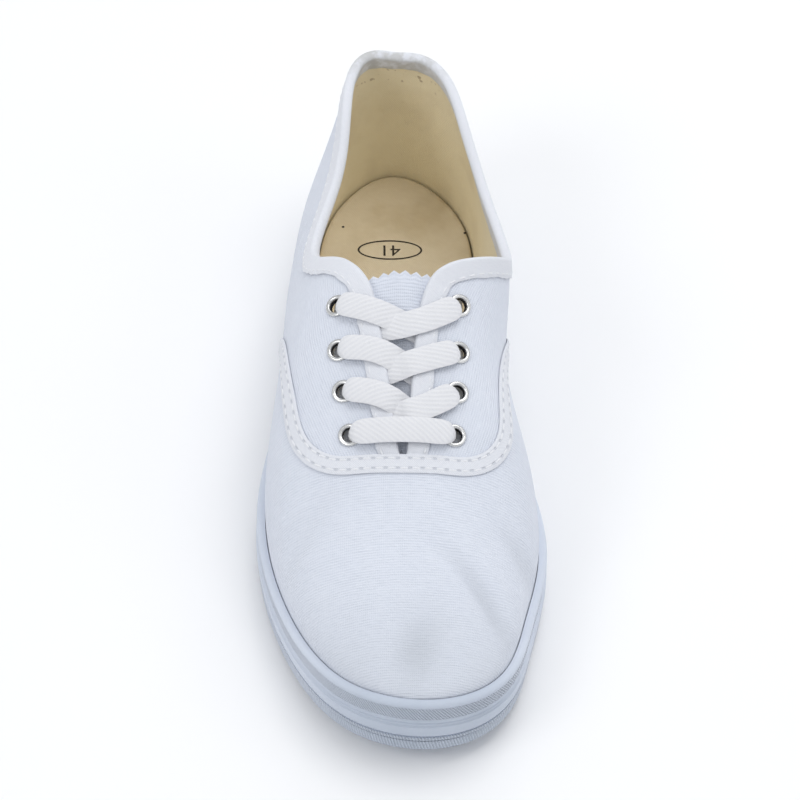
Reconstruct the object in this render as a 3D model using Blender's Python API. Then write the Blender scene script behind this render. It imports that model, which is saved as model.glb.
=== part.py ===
"""Canvas sneaker, right foot: rubber outsole and foxing, canvas upper, taped seams, eyelets and lace.

Frame: metres, +Z up, toe towards -Y, +X is the inner (medial) side. The origin is on the floor,
under the middle of the shoe's length.
"""

import math
from collections import namedtuple

import bmesh
import bpy
import numpy as np
from mathutils import Matrix

for old in list(bpy.data.objects):
    bpy.data.objects.remove(old)

# Driving sizes
LENGTH = 0.2720
BALL_WIDTH = 0.0980
HEEL_WIDTH = 0.0665
HEEL_HEIGHT = 0.0815
ANKLE_HEIGHT = 0.0630
INSTEP_HEIGHT = 0.0880
TOE_BOX_HEIGHT = 0.0385
SOLE_HEIGHT = 0.0180
TOE_BUMPER_HEIGHT = 0.0250
TOE_SPRING = 0.0080
ARCH_RISE = 0.0018

# Walls and clearances
FIT = 0.0003
CANVAS = 0.0016
FOXING = 0.0030
OUTSOLE_EDGE = 0.0045
OUTSOLE_ROUND = 0.0012
FOOTBED_HEIGHT = 0.0128
INSOLE = 0.0030
TAPE = 0.0007
COLLAR_TAPE_WIDTH = 0.0065
SEAM_TAPE_WIDTH = 0.0065
WALL_BULGE = 0.0120

# Throat, tongue, eyelets and lace
THROAT_WIDTH = 0.0218
THROAT_END = 0.6800
THROAT_ROUND = 0.0040
TONGUE = 0.0012
TONGUE_DROP = 0.0019
TONGUE_WIDTH = 0.0440
TONGUE_TOP = 0.4640
TONGUE_FRONT = 0.7120
TONGUE_TOOTH = 0.0011
TONGUE_TEETH = 11
EYELET_SPREAD = 0.0416
EYELET_RADIUS = 0.0040
EYELET_BORE = 0.0026
EYELET_METAL = 0.0005
LACE_WIDTH = 0.0085
LACE_NARROW = 0.0046
LACE = 0.0012

# Facets: ribs of the upper on each side, its rows, and points round the sole's pieces
RIBS = 36
ROWS = 6
SOLE_POINTS = 72
SEAM_POINTS = 56
EYELET_POINTS = 14
TONGUE_ROWS = 9

# Plan outline of the sole, as shares of a width on each side of the heel's middle line
PlanRow = namedtuple("PlanRow", "share width lateral medial")
PLAN = (
    PlanRow(0.000, HEEL_WIDTH, 0.009, -0.009),
    PlanRow(0.035, HEEL_WIDTH, 0.271, 0.269),
    PlanRow(0.120, HEEL_WIDTH, 0.461, 0.461),
    PlanRow(0.250, HEEL_WIDTH, 0.517, 0.493),
    PlanRow(0.380, BALL_WIDTH, 0.376, 0.332),
    PlanRow(0.500, BALL_WIDTH, 0.450, 0.392),
    PlanRow(0.620, BALL_WIDTH, 0.504, 0.482),
    PlanRow(0.720, BALL_WIDTH, 0.490, 0.504),
    PlanRow(0.820, BALL_WIDTH, 0.422, 0.454),
    PlanRow(0.910, BALL_WIDTH, 0.312, 0.390),
    PlanRow(0.970, BALL_WIDTH, 0.172, 0.280),
    PlanRow(1.000, BALL_WIDTH, -0.064, 0.064),
)

# Ribs of the last: where each meets the ridge, then on each side how far the lower handle is lifted, how far
# it is pushed out, as a share of WALL_BULGE, and how far the upper handle is drawn out from the ridge.
RibSide = namedtuple("RibSide", "wall bulge crown")
LastRow = namedtuple("LastRow", "share crest lateral medial")
LAST = (
    LastRow(0.000, 0.230, RibSide(0.50, 0.30, 0.93), RibSide(0.50, 0.30, 0.93)),
    LastRow(0.035, 0.236, RibSide(0.47, 0.50, 1.05), RibSide(0.50, 0.28, 0.97)),
    LastRow(0.120, 0.262, RibSide(0.38, 1.43, -0.12), RibSide(0.50, 0.34, 0.51)),
    LastRow(0.250, 0.316, RibSide(0.30, 2.14, -0.12), RibSide(0.50, 0.74, 0.89)),
    LastRow(0.380, 0.402, RibSide(0.43, 2.00, 0.29), RibSide(0.52, 1.10, 1.50)),
    LastRow(0.500, 0.503, RibSide(0.62, 0.60, 0.84), RibSide(0.62, 0.45, 0.94)),
    LastRow(0.620, 0.620, RibSide(0.60, 0.25, 0.82), RibSide(0.60, 0.25, 0.80)),
    LastRow(0.720, 0.718, RibSide(0.55, 0.20, 0.70), RibSide(0.54, 0.20, 0.62)),
    LastRow(0.820, 0.812, RibSide(0.52, 0.12, 0.64), RibSide(0.51, 0.12, 0.58)),
    LastRow(0.910, 0.886, RibSide(0.50, 0.06, 0.61), RibSide(0.50, 0.06, 0.58)),
    LastRow(0.970, 0.922, RibSide(0.50, 0.00, 0.60), RibSide(0.50, 0.00, 0.60)),
    LastRow(1.000, 0.930, RibSide(0.50, 0.00, 0.60), RibSide(0.50, 0.00, 0.60)),
)
RidgeRow = namedtuple("RidgeRow", "share size height offset")
RIDGE = (
    RidgeRow(0.200, INSTEP_HEIGHT, 1.260, 0.024),
    RidgeRow(0.300, INSTEP_HEIGHT, 1.210, 0.029),
    RidgeRow(0.400, INSTEP_HEIGHT, 1.105, 0.000),
    RidgeRow(0.495, INSTEP_HEIGHT, 0.945, -0.019),
    RidgeRow(0.600, INSTEP_HEIGHT, 0.780, -0.013),
    RidgeRow(0.680, INSTEP_HEIGHT, 0.655, -0.004),
    RidgeRow(0.760, INSTEP_HEIGHT, 0.556, 0.004),
    RidgeRow(0.850, TOE_BOX_HEIGHT, 1.100, 0.024),
    RidgeRow(0.900, TOE_BOX_HEIGHT, 1.015, 0.038),
    RidgeRow(0.935, TOE_BOX_HEIGHT, 0.950, 0.046),
)

# Top edge of the foxing
HeightRow = namedtuple("HeightRow", "share size height")
FOXING_TOP = (
    HeightRow(0.00, SOLE_HEIGHT, 1.12),
    HeightRow(0.20, SOLE_HEIGHT, 1.05),
    HeightRow(0.45, SOLE_HEIGHT, 1.00),
    HeightRow(0.70, SOLE_HEIGHT, 1.02),
    HeightRow(0.88, TOE_BUMPER_HEIGHT, 0.90),
    HeightRow(0.96, TOE_BUMPER_HEIGHT, 1.10),
    HeightRow(1.00, TOE_BUMPER_HEIGHT, 1.24),
)
# Where the underside leaves the floor
ARCH_FROM = 0.29
ARCH_TO = 0.54
SPRING_FROM = 0.73

# Section of the foxing: share of its height, and depth of the step there as a share of its thickness
StepRow = namedtuple("StepRow", "rise depth")
FOXING_STEPS = (
    StepRow(0.00, 0.20),
    StepRow(0.05, 0.05),
    StepRow(0.20, 0.00),
    StepRow(0.25, 0.20),
    StepRow(0.31, 0.20),
    StepRow(0.36, 0.00),
    StepRow(0.48, 0.00),
    StepRow(0.54, 0.16),
    StepRow(0.88, 0.20),
    StepRow(0.92, 0.10),
    StepRow(1.00, 0.30),
)

# Collar's top edge seen from the side
COLLAR = (
    HeightRow(0.000, HEEL_HEIGHT, 0.981),
    HeightRow(0.050, HEEL_HEIGHT, 0.965),
    HeightRow(0.120, HEEL_HEIGHT, 0.935),
    HeightRow(0.200, ANKLE_HEIGHT, 1.085),
    HeightRow(0.290, ANKLE_HEIGHT, 1.030),
    HeightRow(0.386, ANKLE_HEIGHT, 1.150),
    HeightRow(0.430, INSTEP_HEIGHT, 0.9629),
    HeightRow(0.466, INSTEP_HEIGHT, 1.0452),
    HeightRow(0.520, INSTEP_HEIGHT, 1.1455),
)
# Half the distance between the two facings' canvas edges, as a share of the throat's width
GapRow = namedtuple("GapRow", "share half")
THROAT = (
    GapRow(0.300, -0.500),
    GapRow(0.380, 0.300),
    GapRow(0.415, 0.620),
    GapRow(0.446, 0.720),
    GapRow(0.468, 0.560),
    GapRow(0.495, 0.420),
    GapRow(0.529, 0.330),
    GapRow(0.581, 0.240),
    GapRow(0.621, 0.185),
    GapRow(0.662, 0.130),
    GapRow(0.680, 0.110),
)
CORNER_SOFTNESS = 0.055

# Eyelets from the top pair down, and half their distance across as a share of the top pair's
EyeletRow = namedtuple("EyeletRow", "share spread")
EYELETS = (
    EyeletRow(0.4945, 1.000),
    EyeletRow(0.5507, 0.978),
    EyeletRow(0.6000, 0.922),
    EyeletRow(0.6510, 0.846),
)

# Middle of the seam tape from the ridge down one side to the foxing: side 0 is the ridge, 1 the foxing
SeamRow = namedtuple("SeamRow", "share side")
SEAM = (
    SeamRow(0.6895, 0.00),
    SeamRow(0.6890, 0.14),
    SeamRow(0.6860, 0.26),
    SeamRow(0.6715, 0.355),
    SeamRow(0.6400, 0.44),
    SeamRow(0.5900, 0.49),
    SeamRow(0.5250, 0.58),
    SeamRow(0.4750, 0.69),
    SeamRow(0.4350, 0.80),
    SeamRow(0.4100, 0.89),
    SeamRow(0.3950, 0.96),
)


def spline(knots, values, at, period=None):
    """Cubic spline through the knots, with free ends or, given a period, closed."""
    knot = np.asarray(knots, float)
    value = np.asarray(values, float)
    if period:
        knot = np.concatenate((knot[-5:] - period, knot, knot[:5] + period))
        value = np.concatenate((value[-5:], value, value[:5]))
    step = np.diff(knot)
    slope = np.diff(value) / step
    matrix = np.eye(len(knot))
    right = np.zeros(len(knot))
    for i in range(1, len(knot) - 1):
        matrix[i, i - 1 : i + 2] = step[i - 1], 2 * (step[i - 1] + step[i]), step[i]
        right[i] = 6 * (slope[i] - slope[i - 1])
    bend = np.linalg.solve(matrix, right)
    at = np.asarray(at, float)
    i = np.clip(np.searchsorted(knot, at) - 1, 0, len(knot) - 2)
    a = (knot[i + 1] - at) / step[i]
    b = (at - knot[i]) / step[i]
    curve = ((a**3 - a) * bend[i] + (b**3 - b) * bend[i + 1]) * step[i] ** 2 / 6
    return a * value[i] + b * value[i + 1] + curve


def angle_of(share):
    """Angle round the sole at a share of the length on the lateral side: 0 at the heel, pi at the toe."""
    return np.arccos(np.clip(1 - 2 * np.asarray(share, float), -1, 1))


def share_of(y):
    return 0.5 - np.asarray(y, float) / LENGTH


def heights(rows, share):
    """Heights from a table with a size column, at shares of the length."""
    return spline([row.share for row in rows], [row.height * row.size for row in rows], share)


def around(values, angle):
    """Spline over angles round the sole through one value for each row of LAST, the same on both sides."""
    folded = np.pi - np.abs(np.pi - np.mod(angle, 2 * np.pi))
    knots = [float(angle_of(row.share)) for row in LAST]
    values = list(values)
    knots = [-knot for knot in knots[3:0:-1]] + knots + [2 * np.pi - knot for knot in knots[-2:-5:-1]]
    return spline(knots, values[3:0:-1] + values + values[-2:-5:-1], folded)


def crest_share(angle):
    return around([row.crest for row in LAST], angle)


def handle(name, angle):
    """A column of LAST's sides at angles round the sole."""
    lateral = around([getattr(row.lateral, name) for row in LAST], angle)
    medial = around([getattr(row.medial, name) for row in LAST], angle)
    return np.where(np.sin(angle) >= 0, lateral, medial)


def outline(angle):
    """Plan point on the sole's outer edge. Angles run from the heel over the lateral side to the toe."""
    knots = [float(angle_of(row.share)) for row in PLAN]
    across_shoe = [-row.lateral * row.width for row in PLAN]
    for row in reversed(PLAN[1:-1]):
        knots.append(2 * np.pi - float(angle_of(row.share)))
        across_shoe.append(row.medial * row.width)
    angle = np.mod(np.asarray(angle, float), 2 * np.pi)
    return np.stack((spline(knots, across_shoe, angle, 2 * np.pi), LENGTH / 2 * np.cos(angle)), -1)


def outward(angle):
    """Plan normal of the sole's edge."""
    small = 1e-3
    along = outline(np.asarray(angle) + small) - outline(np.asarray(angle) - small)
    normal = np.stack((along[..., 1], -along[..., 0]), -1)
    return normal / np.linalg.norm(normal, axis=-1, keepdims=True)


def inset(angle, distance):
    return outline(angle) - outward(angle) * distance


def underside(share):
    """Height of the sole's underside over the floor: flat, with the arch's rise and the toe spring."""
    arch = np.clip((share - ARCH_FROM) / (ARCH_TO - ARCH_FROM), 0, 1)
    spring = np.clip((share - SPRING_FROM) / (1 - SPRING_FROM), 0, 1)
    return ARCH_RISE * np.sin(np.pi * arch) ** 2 + TOE_SPRING * spring**2


def ridge(share):
    """Point on the ridge of the closed last."""
    x = spline([row.share for row in RIDGE], [row.offset * BALL_WIDTH for row in RIDGE], share)
    return np.stack((x, LENGTH * (0.5 - share), heights(RIDGE, share)), -1)


def last(angle, rise):
    """Outer surface of the upper: rise is -1 at its lower edge, 0 at the foxing's top and 1 at the ridge."""
    angle, rise = np.broadcast_arrays(np.asarray(angle, float), np.asarray(rise, float))
    foot = inset(angle, FOXING + FIT)
    low = underside(share_of(foot[..., 1])) + OUTSOLE_EDGE + FIT
    top = heights(FOXING_TOP, share_of(outline(angle)[..., 1]))
    share = crest_share(angle)
    crest = ridge(share)
    small = 1e-3
    climb = (ridge(share - small)[..., 2] - ridge(share + small)[..., 2]) / (2 * small * LENGTH)
    first = np.concatenate((foot, top[..., None]), -1)
    second = first.copy()
    second[..., :2] += outward(angle) * (WALL_BULGE * handle("bulge", angle))[..., None]
    second[..., 2] += handle("wall", angle) * (crest[..., 2] - top)
    third = crest.copy()
    third[..., :2] += (foot - crest[..., :2]) * handle("crown", angle)[..., None]
    third[..., 2] += climb * (third[..., 1] - crest[..., 1])
    t = np.clip(rise, 0, 1)[..., None]
    point = first * (1 - t) ** 3 + 3 * second * t * (1 - t) ** 2 + 3 * third * t**2 * (1 - t) + crest * t**3
    point[..., 2] += np.clip(-rise, 0, 1) * (low - top)
    return point


def across(share, side):
    """The same surface by rib share and side: -1 lateral foxing edge, 0 ridge, 1 medial foxing edge."""
    share, side = np.broadcast_arrays(np.asarray(share, float), np.asarray(side, float))
    angle = angle_of(share)
    return last(np.where(side > 0, -angle, angle), 1 - np.abs(side))


def directions(surface, a, b):
    """Unit normal of a surface function at its two numbers, and the two directions along it."""
    small = 1e-3
    along_a = (surface(a + small, b) - surface(a - small, b)) / (2 * small)
    along_b = (surface(a, b + small) - surface(a, b - small)) / (2 * small)
    normal = np.cross(along_a, along_b)
    return normal / np.linalg.norm(normal, axis=-1, keepdims=True), along_a, along_b


def last_normal(angle, rise):
    """Outward normal of the last, level below the foxing's top and the same on both sides at the ridge."""
    angle, rise = np.broadcast_arrays(np.asarray(angle, float), np.asarray(rise, float))
    inside = np.clip(rise, 0.004, 0.97)
    normal = directions(last, angle, inside)[0]
    mate = directions(last, -angle, inside)[0]
    blend = np.clip((rise - 0.9) / 0.1, 0, 1)[..., None] / 2
    normal = normal * (1 - blend) + mate * blend
    level = np.concatenate((outward(angle), np.zeros(angle.shape + (1,))), -1)
    normal = np.where(rise[..., None] <= 0, level, normal)
    return normal / np.linalg.norm(normal, axis=-1, keepdims=True)


def settle(target, share, side):
    """Share and side of the surface point nearest to each target, from a first guess."""
    for _ in range(10):
        away = target - across(share, side)
        _, along, over = directions(across, share, side)
        aa, bb, ab = (along * along).sum(-1), (over * over).sum(-1), (along * over).sum(-1)
        ra, rb = (along * away).sum(-1), (over * away).sum(-1)
        scale = aa * bb - ab * ab
        share = share + np.clip((bb * ra - ab * rb) / scale, -0.02, 0.02)
        side = side + np.clip((aa * rb - ab * ra) / scale, -0.1, 0.1)
    return share, side


def place(x, y):
    """Share and side of the last's point above a plan point on its crown."""
    x, y = np.broadcast_arrays(np.asarray(x, float), np.asarray(y, float))
    share, side = share_of(y), x / (0.8 * BALL_WIDTH)
    for _ in range(14):
        point = across(share, side)
        _, along, over = directions(across, share, side)
        det = along[..., 0] * over[..., 1] - along[..., 1] * over[..., 0]
        dx, dy = x - point[..., 0], y - point[..., 1]
        share = share + np.clip((over[..., 1] * dx - over[..., 0] * dy) / det, -0.02, 0.02)
        side = side + np.clip((along[..., 0] * dy - along[..., 1] * dx) / det, -0.08, 0.08)
    return share, side


def seat(share, side):
    """Point and outward normal of the last by share and side."""
    angle = np.where(np.asarray(side) > 0, -angle_of(share), angle_of(share))
    return across(share, side), last_normal(angle, 1 - np.abs(side))


def first_crossing(values, grid):
    """Grid place at which each row of values first falls to zero, or the grid's end where it never does."""
    below = values <= 0
    j = np.clip(below.argmax(-1), 1, None)
    rows = np.arange(len(values))
    high, low = values[rows, j - 1], values[rows, j]
    part = high / np.where(high == low, 1, high - low)
    return np.where(below.any(-1), grid[j - 1] + part * (grid[j] - grid[j - 1]), grid[-1])


def half_gap(share):
    """Half the distance between the facings' canvas edges, with a round end to the throat."""
    knots = [row.share for row in THROAT]
    half = spline(knots, [row.half * THROAT_WIDTH for row in THROAT], np.clip(share, knots[0], knots[-1]))
    left = (THROAT_END - share) * LENGTH / THROAT_ROUND
    return np.where(left > 0, half * np.sqrt(1 - np.clip(1 - left, 0, 1) ** 2), -THROAT_WIDTH)


def opening_edge(angle):
    """Rise at which each rib is cut by the collar's top edge and by the throat, less the tape's cover."""
    grid = np.linspace(0, 1, 241)
    point = last(angle[:, None], grid[None, :])
    share = share_of(point[..., 1])
    collar = heights(COLLAR, np.clip(share, COLLAR[0].share, COLLAR[-1].share)) - TAPE - FIT
    by_height = first_crossing(collar - point[..., 2], grid)
    by_height = np.where(by_height >= 1, 1.4, by_height)
    by_gap = first_crossing(np.abs(point[..., 0] - ridge(share)[..., 0]) - half_gap(share), grid)
    both = np.exp(-by_height / CORNER_SOFTNESS) + np.exp(-by_gap / CORNER_SOFTNESS)
    edge = np.minimum(-CORNER_SOFTNESS * np.log(both), 0.9995)
    return np.where(crest_share(angle) >= THROAT_END - 2e-5, 1.0, edge)


def rib_angles():
    """Angles of the ribs, closer together round the facings' top corner and at the throat's end."""
    fine = np.linspace(0, np.pi, 4001)
    end = float(np.interp(THROAT_END, crest_share(fine), fine))
    step = 2 * THROAT_ROUND / LENGTH
    wanted = [end - share * step for share in (0, 0.12, 0.45, 1.1, 2.4)]
    wanted += [float(angle_of(share)) for share in (0.405, 0.425, 0.440, 0.452, 0.463, 0.475)]
    even = np.linspace(0, np.pi, RIBS + 1)
    apart = [angle for angle in even if min(abs(angle - other) for other in wanted) > 0.35 * even[1]]
    side = np.array(sorted(apart + wanted))
    return np.concatenate((side, 2 * np.pi - side[-2:0:-1]))


def tape_line(angle, edge):
    """Rise on each rib at which the last is the collar tape's width away from the opening's edge."""
    rim = last(angle[edge < 1], edge[edge < 1])
    along = np.roll(rim, -1, 0) - rim
    share = np.linspace(0, 1, 161)
    point = last(angle[:, None], edge[:, None] * share[None, :])
    away = point[:, :, None, :] - rim
    t = np.clip((away * along).sum(-1) / (along * along).sum(-1), 0, 1)
    distance = np.linalg.norm(away - t[..., None] * along, axis=-1).min(-1)
    line = edge * first_crossing(distance - COLLAR_TAPE_WIDTH, share)
    return np.where(edge < 1, line, edge * ROWS / (ROWS + 1))


def material(name, colour, roughness, metallic=0.0):
    finish = bpy.data.materials.new(name)
    finish.use_nodes = True
    shader = finish.node_tree.nodes["Principled BSDF"]
    shader.inputs["Base Color"].default_value = (*colour, 1)
    shader.inputs["Roughness"].default_value = roughness
    shader.inputs["Metallic"].default_value = metallic
    finish.diffuse_color = (*colour, 1)
    return finish


def solid(name, points, faces, finish, sharp=35):
    """Object from points and faces, with doubled points joined and the faces turned outwards."""
    mesh = bpy.data.meshes.new(name)
    mesh.from_pydata([tuple(map(float, point)) for point in points], [], faces)
    work = bmesh.new()
    work.from_mesh(mesh)
    bmesh.ops.remove_doubles(work, verts=work.verts, dist=1e-6)
    bmesh.ops.recalc_face_normals(work, faces=work.faces)
    work.to_mesh(mesh)
    work.free()
    mesh.shade_smooth()
    mesh.set_sharp_from_angle(angle=math.radians(sharp))
    mesh.materials.append(finish)
    made = bpy.data.objects.new(name, mesh)
    bpy.context.scene.collection.objects.link(made)
    return made


def loft(loops, closed=False):
    """Faces between loops of equal size, joined in a ring or closed by a cap at each end."""
    count, size = len(loops), len(loops[0])
    points = np.concatenate(loops)
    faces = []
    for i in range(count if closed else count - 1):
        near, far = i * size, (i + 1) % count * size
        for j in range(size):
            k = (j + 1) % size
            faces.append((near + j, near + k, far + k, far + j))
    if not closed:
        faces.append(tuple(range(size)))
        faces.append(tuple(range((count - 1) * size, count * size)))
    return points, faces


def plate(rows):
    """Solid from rows of points round the sole, from its underside's edge to its top's, with both caps."""
    count = len(rows[0])
    points = np.concatenate(rows)
    faces = []
    for i in range(len(rows) - 1):
        for j in range(count):
            k = (j + 1) % count
            faces.append((i * count + j, i * count + k, (i + 1) * count + k, (i + 1) * count + j))
    for first in (0, (len(rows) - 1) * count):
        for j in range(count // 2):
            corners = [j, j + 1, count - j - 1, (count - j) % count]
            faces.append(tuple(first + corner for corner in dict.fromkeys(corners)))
    return points, faces


def level_row(angle, distance, height):
    """Row round the sole at a distance in from its edge and a height over the underside."""
    plan = inset(angle, distance)
    return np.concatenate((plan, (underside(share_of(plan[:, 1])) + height)[:, None]), 1)


def sole_angles():
    return np.linspace(0, 2 * np.pi, SOLE_POINTS, endpoint=False)


def make_outsole(finish):
    """Outsole: a plate whose edge shows under the foxing, with a raised footbed inside the upper."""
    angle = sole_angles()
    edge = FOXING_STEPS[0].depth * FOXING
    core = FOXING + CANVAS + 3 * FIT
    rows = (
        level_row(angle, edge + OUTSOLE_ROUND, 0),
        level_row(angle, edge, OUTSOLE_ROUND),
        level_row(angle, edge, OUTSOLE_EDGE - OUTSOLE_ROUND / 2),
        level_row(angle, edge + OUTSOLE_ROUND / 2, OUTSOLE_EDGE),
        level_row(angle, core, OUTSOLE_EDGE),
        level_row(angle, core, FOOTBED_HEIGHT),
    )
    return solid("outsole", *plate(rows), finish)


def make_insole(finish):
    angle = sole_angles()
    edge = FOXING + CANVAS + 3 * FIT
    base = FOOTBED_HEIGHT + FIT
    bevel = 0.4 * INSOLE
    rows = (
        level_row(angle, edge, base),
        level_row(angle, edge, base + INSOLE - bevel),
        level_row(angle, edge + bevel, base + INSOLE),
    )
    return solid("insole", *plate(rows), finish)


def make_foxing(finish):
    """Foxing: the rubber band round the upper's foot, with its raised lines, on the outsole's edge."""
    angle = sole_angles()
    share = share_of(outline(angle)[:, 1])
    low = underside(share) + OUTSOLE_EDGE + FIT
    high = heights(FOXING_TOP, share)
    steps = [(row.rise, row.depth) for row in FOXING_STEPS] + [(1.0, 1.0), (0.0, 1.0)]
    columns = []
    for rise, depth in steps:
        plan = inset(angle, depth * FOXING)
        columns.append(np.concatenate((plan, (low + rise * (high - low))[:, None]), 1))
    loops = list(np.stack(columns, 1))
    return solid("foxing", *loft(loops, closed=True), finish, 25)


def make_upper(finish):
    """Upper: one canvas shell, open at the collar, along the throat and underneath."""
    angle = rib_angles()
    edge = opening_edge(angle)
    tape = tape_line(angle, edge)
    rows = [np.full(len(angle), -1.0)] + [tape * i / ROWS for i in range(ROWS + 1)] + [edge]
    rows = np.array(rows)
    outer = last(angle[None, :], rows)
    inner = outer - last_normal(np.broadcast_to(angle, rows.shape), rows) * CANVAS
    count, height = len(angle), len(rows)
    points = np.concatenate((outer.reshape(-1, 3), inner.reshape(-1, 3)))
    back = count * height
    top = (height - 1) * count
    faces = []
    for j in range(count):
        k = (j + 1) % count
        for i in range(height - 1):
            quad = (i * count + j, i * count + k, (i + 1) * count + k, (i + 1) * count + j)
            for face in (quad,) if i < height - 2 else (quad[:3], quad[:1] + quad[2:]):
                faces.append(face)
                faces.append(tuple(back + corner for corner in reversed(face)))
        faces.append((j, back + j, back + k, k))
        if edge[j] < 1 or edge[k] < 1:
            faces.append((top + j, top + k, back + top + k, back + top + j))
    return solid("upper", points, faces, finish, 50)


def pierce(upper):
    """Cut the eyelets' holes through the upper with hidden cylinders."""
    radius = EYELET_BORE + EYELET_METAL + FIT
    for number, (matrix, _) in enumerate(eyelet_frames()):
        work = bmesh.new()
        bmesh.ops.create_cone(
            work, cap_ends=True, segments=EYELET_POINTS, radius1=radius, radius2=radius, depth=6 * CANVAS
        )
        mesh = bpy.data.meshes.new("hole cutter")
        work.to_mesh(mesh)
        work.free()
        cutter = bpy.data.objects.new("hole_cutter_%d" % number, mesh)
        bpy.context.scene.collection.objects.link(cutter)
        cutter.matrix_world = matrix
        cutter.hide_render = True
        cutter.display_type = "WIRE"
        hole = upper.modifiers.new("eyelet hole %d" % number, "BOOLEAN")
        hole.operation = "DIFFERENCE"
        hole.solver = "EXACT"
        hole.object = cutter


def eyelet_places():
    """Plan points of the eyelets with their names, lateral then medial, from the top pair down."""
    for number, row in enumerate(EYELETS):
        x, y, _ = ridge(row.share)
        for side, word in ((-1, "lateral"), (1, "medial")):
            yield x + side * row.spread * EYELET_SPREAD / 2, y, "eyelet_%s_%d" % (word, number + 1)


def eyelet_frames():
    """World matrix of each eyelet, with +Z out of the upper, and its name."""
    for x, y, name in eyelet_places():
        point, normal = seat(*place(x, y))
        right = np.cross((0.0, 1.0, 0.0), normal)
        right /= np.linalg.norm(right)
        ahead = np.cross(normal, right)
        axes = np.stack((right, ahead, normal, point), 1)
        yield Matrix([list(map(float, row)) for row in axes] + [[0, 0, 0, 1]]), name


def make_eyelets(finish):
    """Nickel eyelets: a rolled flange on the canvas and a barrel through it."""
    flange = FIT + EYELET_METAL
    profile = (
        (EYELET_BORE, -CANVAS - FIT),
        (EYELET_BORE + EYELET_METAL, -CANVAS - FIT),
        (EYELET_BORE + EYELET_METAL, FIT),
        (EYELET_RADIUS, FIT),
        (EYELET_RADIUS - EYELET_METAL / 2, flange),
        ((EYELET_RADIUS + EYELET_BORE) / 2, flange + EYELET_METAL / 2),
        (EYELET_BORE, flange - EYELET_METAL / 4),
    )
    loops = []
    for i in range(EYELET_POINTS):
        turn = 2 * math.pi * i / EYELET_POINTS
        loops.append(np.array([(r * math.cos(turn), r * math.sin(turn), z) for r, z in profile]))
    mesh = None
    for matrix, name in eyelet_frames():
        if mesh is None:
            made = solid(name, *loft(loops, closed=True), finish, 40)
            mesh = made.data
        else:
            made = bpy.data.objects.new(name, mesh)
            bpy.context.scene.collection.objects.link(made)
        made.matrix_world = matrix


def make_collar_tape(finish):
    """Collar tape: folded over the canvas edge from one side of the throat round the heel to the other."""
    angle = rib_angles()
    edge = opening_edge(angle)
    tape = tape_line(angle, edge)
    rim = last(angle, edge)
    gap = np.abs(rim[:, 0] - ridge(share_of(rim[:, 1]))[:, 0])
    covered = (edge < 1) & ((gap > TAPE + 3 * FIT) | (share_of(rim[:, 1]) < THROAT[0].share))
    start = int(np.argmax(angle > np.pi))
    order = [i for i in list(range(start, len(angle))) + list(range(start)) if covered[i]]
    angle, edge, tape, rim = angle[order], edge[order], tape[order], rim[order]
    along = np.gradient(rim, axis=0)
    along /= np.linalg.norm(along, axis=1, keepdims=True)
    top_normal = last_normal(angle, edge)
    up = np.cross(top_normal, along)
    climb = last(angle, edge) - last(angle, edge - 0.01)
    up *= np.sign((up * climb).sum(1))[:, None]
    low, low_normal = last(angle, tape), last_normal(angle, tape)
    thick = FIT + TAPE
    loop = (
        low + low_normal * thick,
        low + low_normal * FIT,
        rim + top_normal * FIT + up * FIT,
        rim - top_normal * (CANVAS + FIT) + up * FIT,
        low - low_normal * (CANVAS + FIT),
        low - low_normal * (CANVAS + thick),
        rim - top_normal * (CANVAS + thick),
        rim - top_normal * CANVAS + up * thick,
        rim + up * thick,
        rim + top_normal * thick,
    )
    points, quads = loft(list(np.stack(loop, 1)))
    at_rim = (0, 0, 1, 1, 0, 0, 1, 1, 1, 1)
    faces = []
    for face in quads:
        if len(face) == 4 and at_rim[face[0] % len(loop)] > at_rim[face[1] % len(loop)]:
            faces += [(face[0], face[1], face[3]), (face[1], face[2], face[3])]
        elif len(face) == 4:
            faces += [(face[0], face[1], face[2]), (face[0], face[2], face[3])]
        else:
            faces.append(face)
    return solid("collar_tape", points, faces, finish, 50)


def seam_line(count):
    """Share and side of the seam tape's middle line, from the lateral foxing over the ridge to the medial."""
    rows = [(row.share, -row.side) for row in reversed(SEAM[1:])] + [(row.share, row.side) for row in SEAM]
    share, side = np.array(rows).T
    point = across(share, side)
    length = np.concatenate(((0,), np.cumsum(np.linalg.norm(np.diff(point, axis=0), axis=1))))
    at = np.linspace(0, length[-1], count)
    return spline(length, share, at), spline(length, side, at)


def make_seam_tape(finish):
    """Seam tape: the strip over the seam between vamp and quarters."""
    share, side = seam_line(SEAM_POINTS)
    middle, normal = seat(share, side)
    along = np.gradient(middle, axis=0)
    over = np.cross(normal, along)
    over /= np.linalg.norm(over, axis=1, keepdims=True)
    columns = []
    for shift, lift in ((-1, 0), (-1, 1), (0, 1), (1, 1), (1, 0), (0, 0)):
        target = middle + over * (shift * SEAM_TAPE_WIDTH / 2)
        point, up = seat(*settle(target, share, side))
        columns.append(point + up * (FIT + lift * TAPE))
    return solid("seam_tape", *loft(list(np.stack(columns, 1))), finish, 50)


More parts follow.
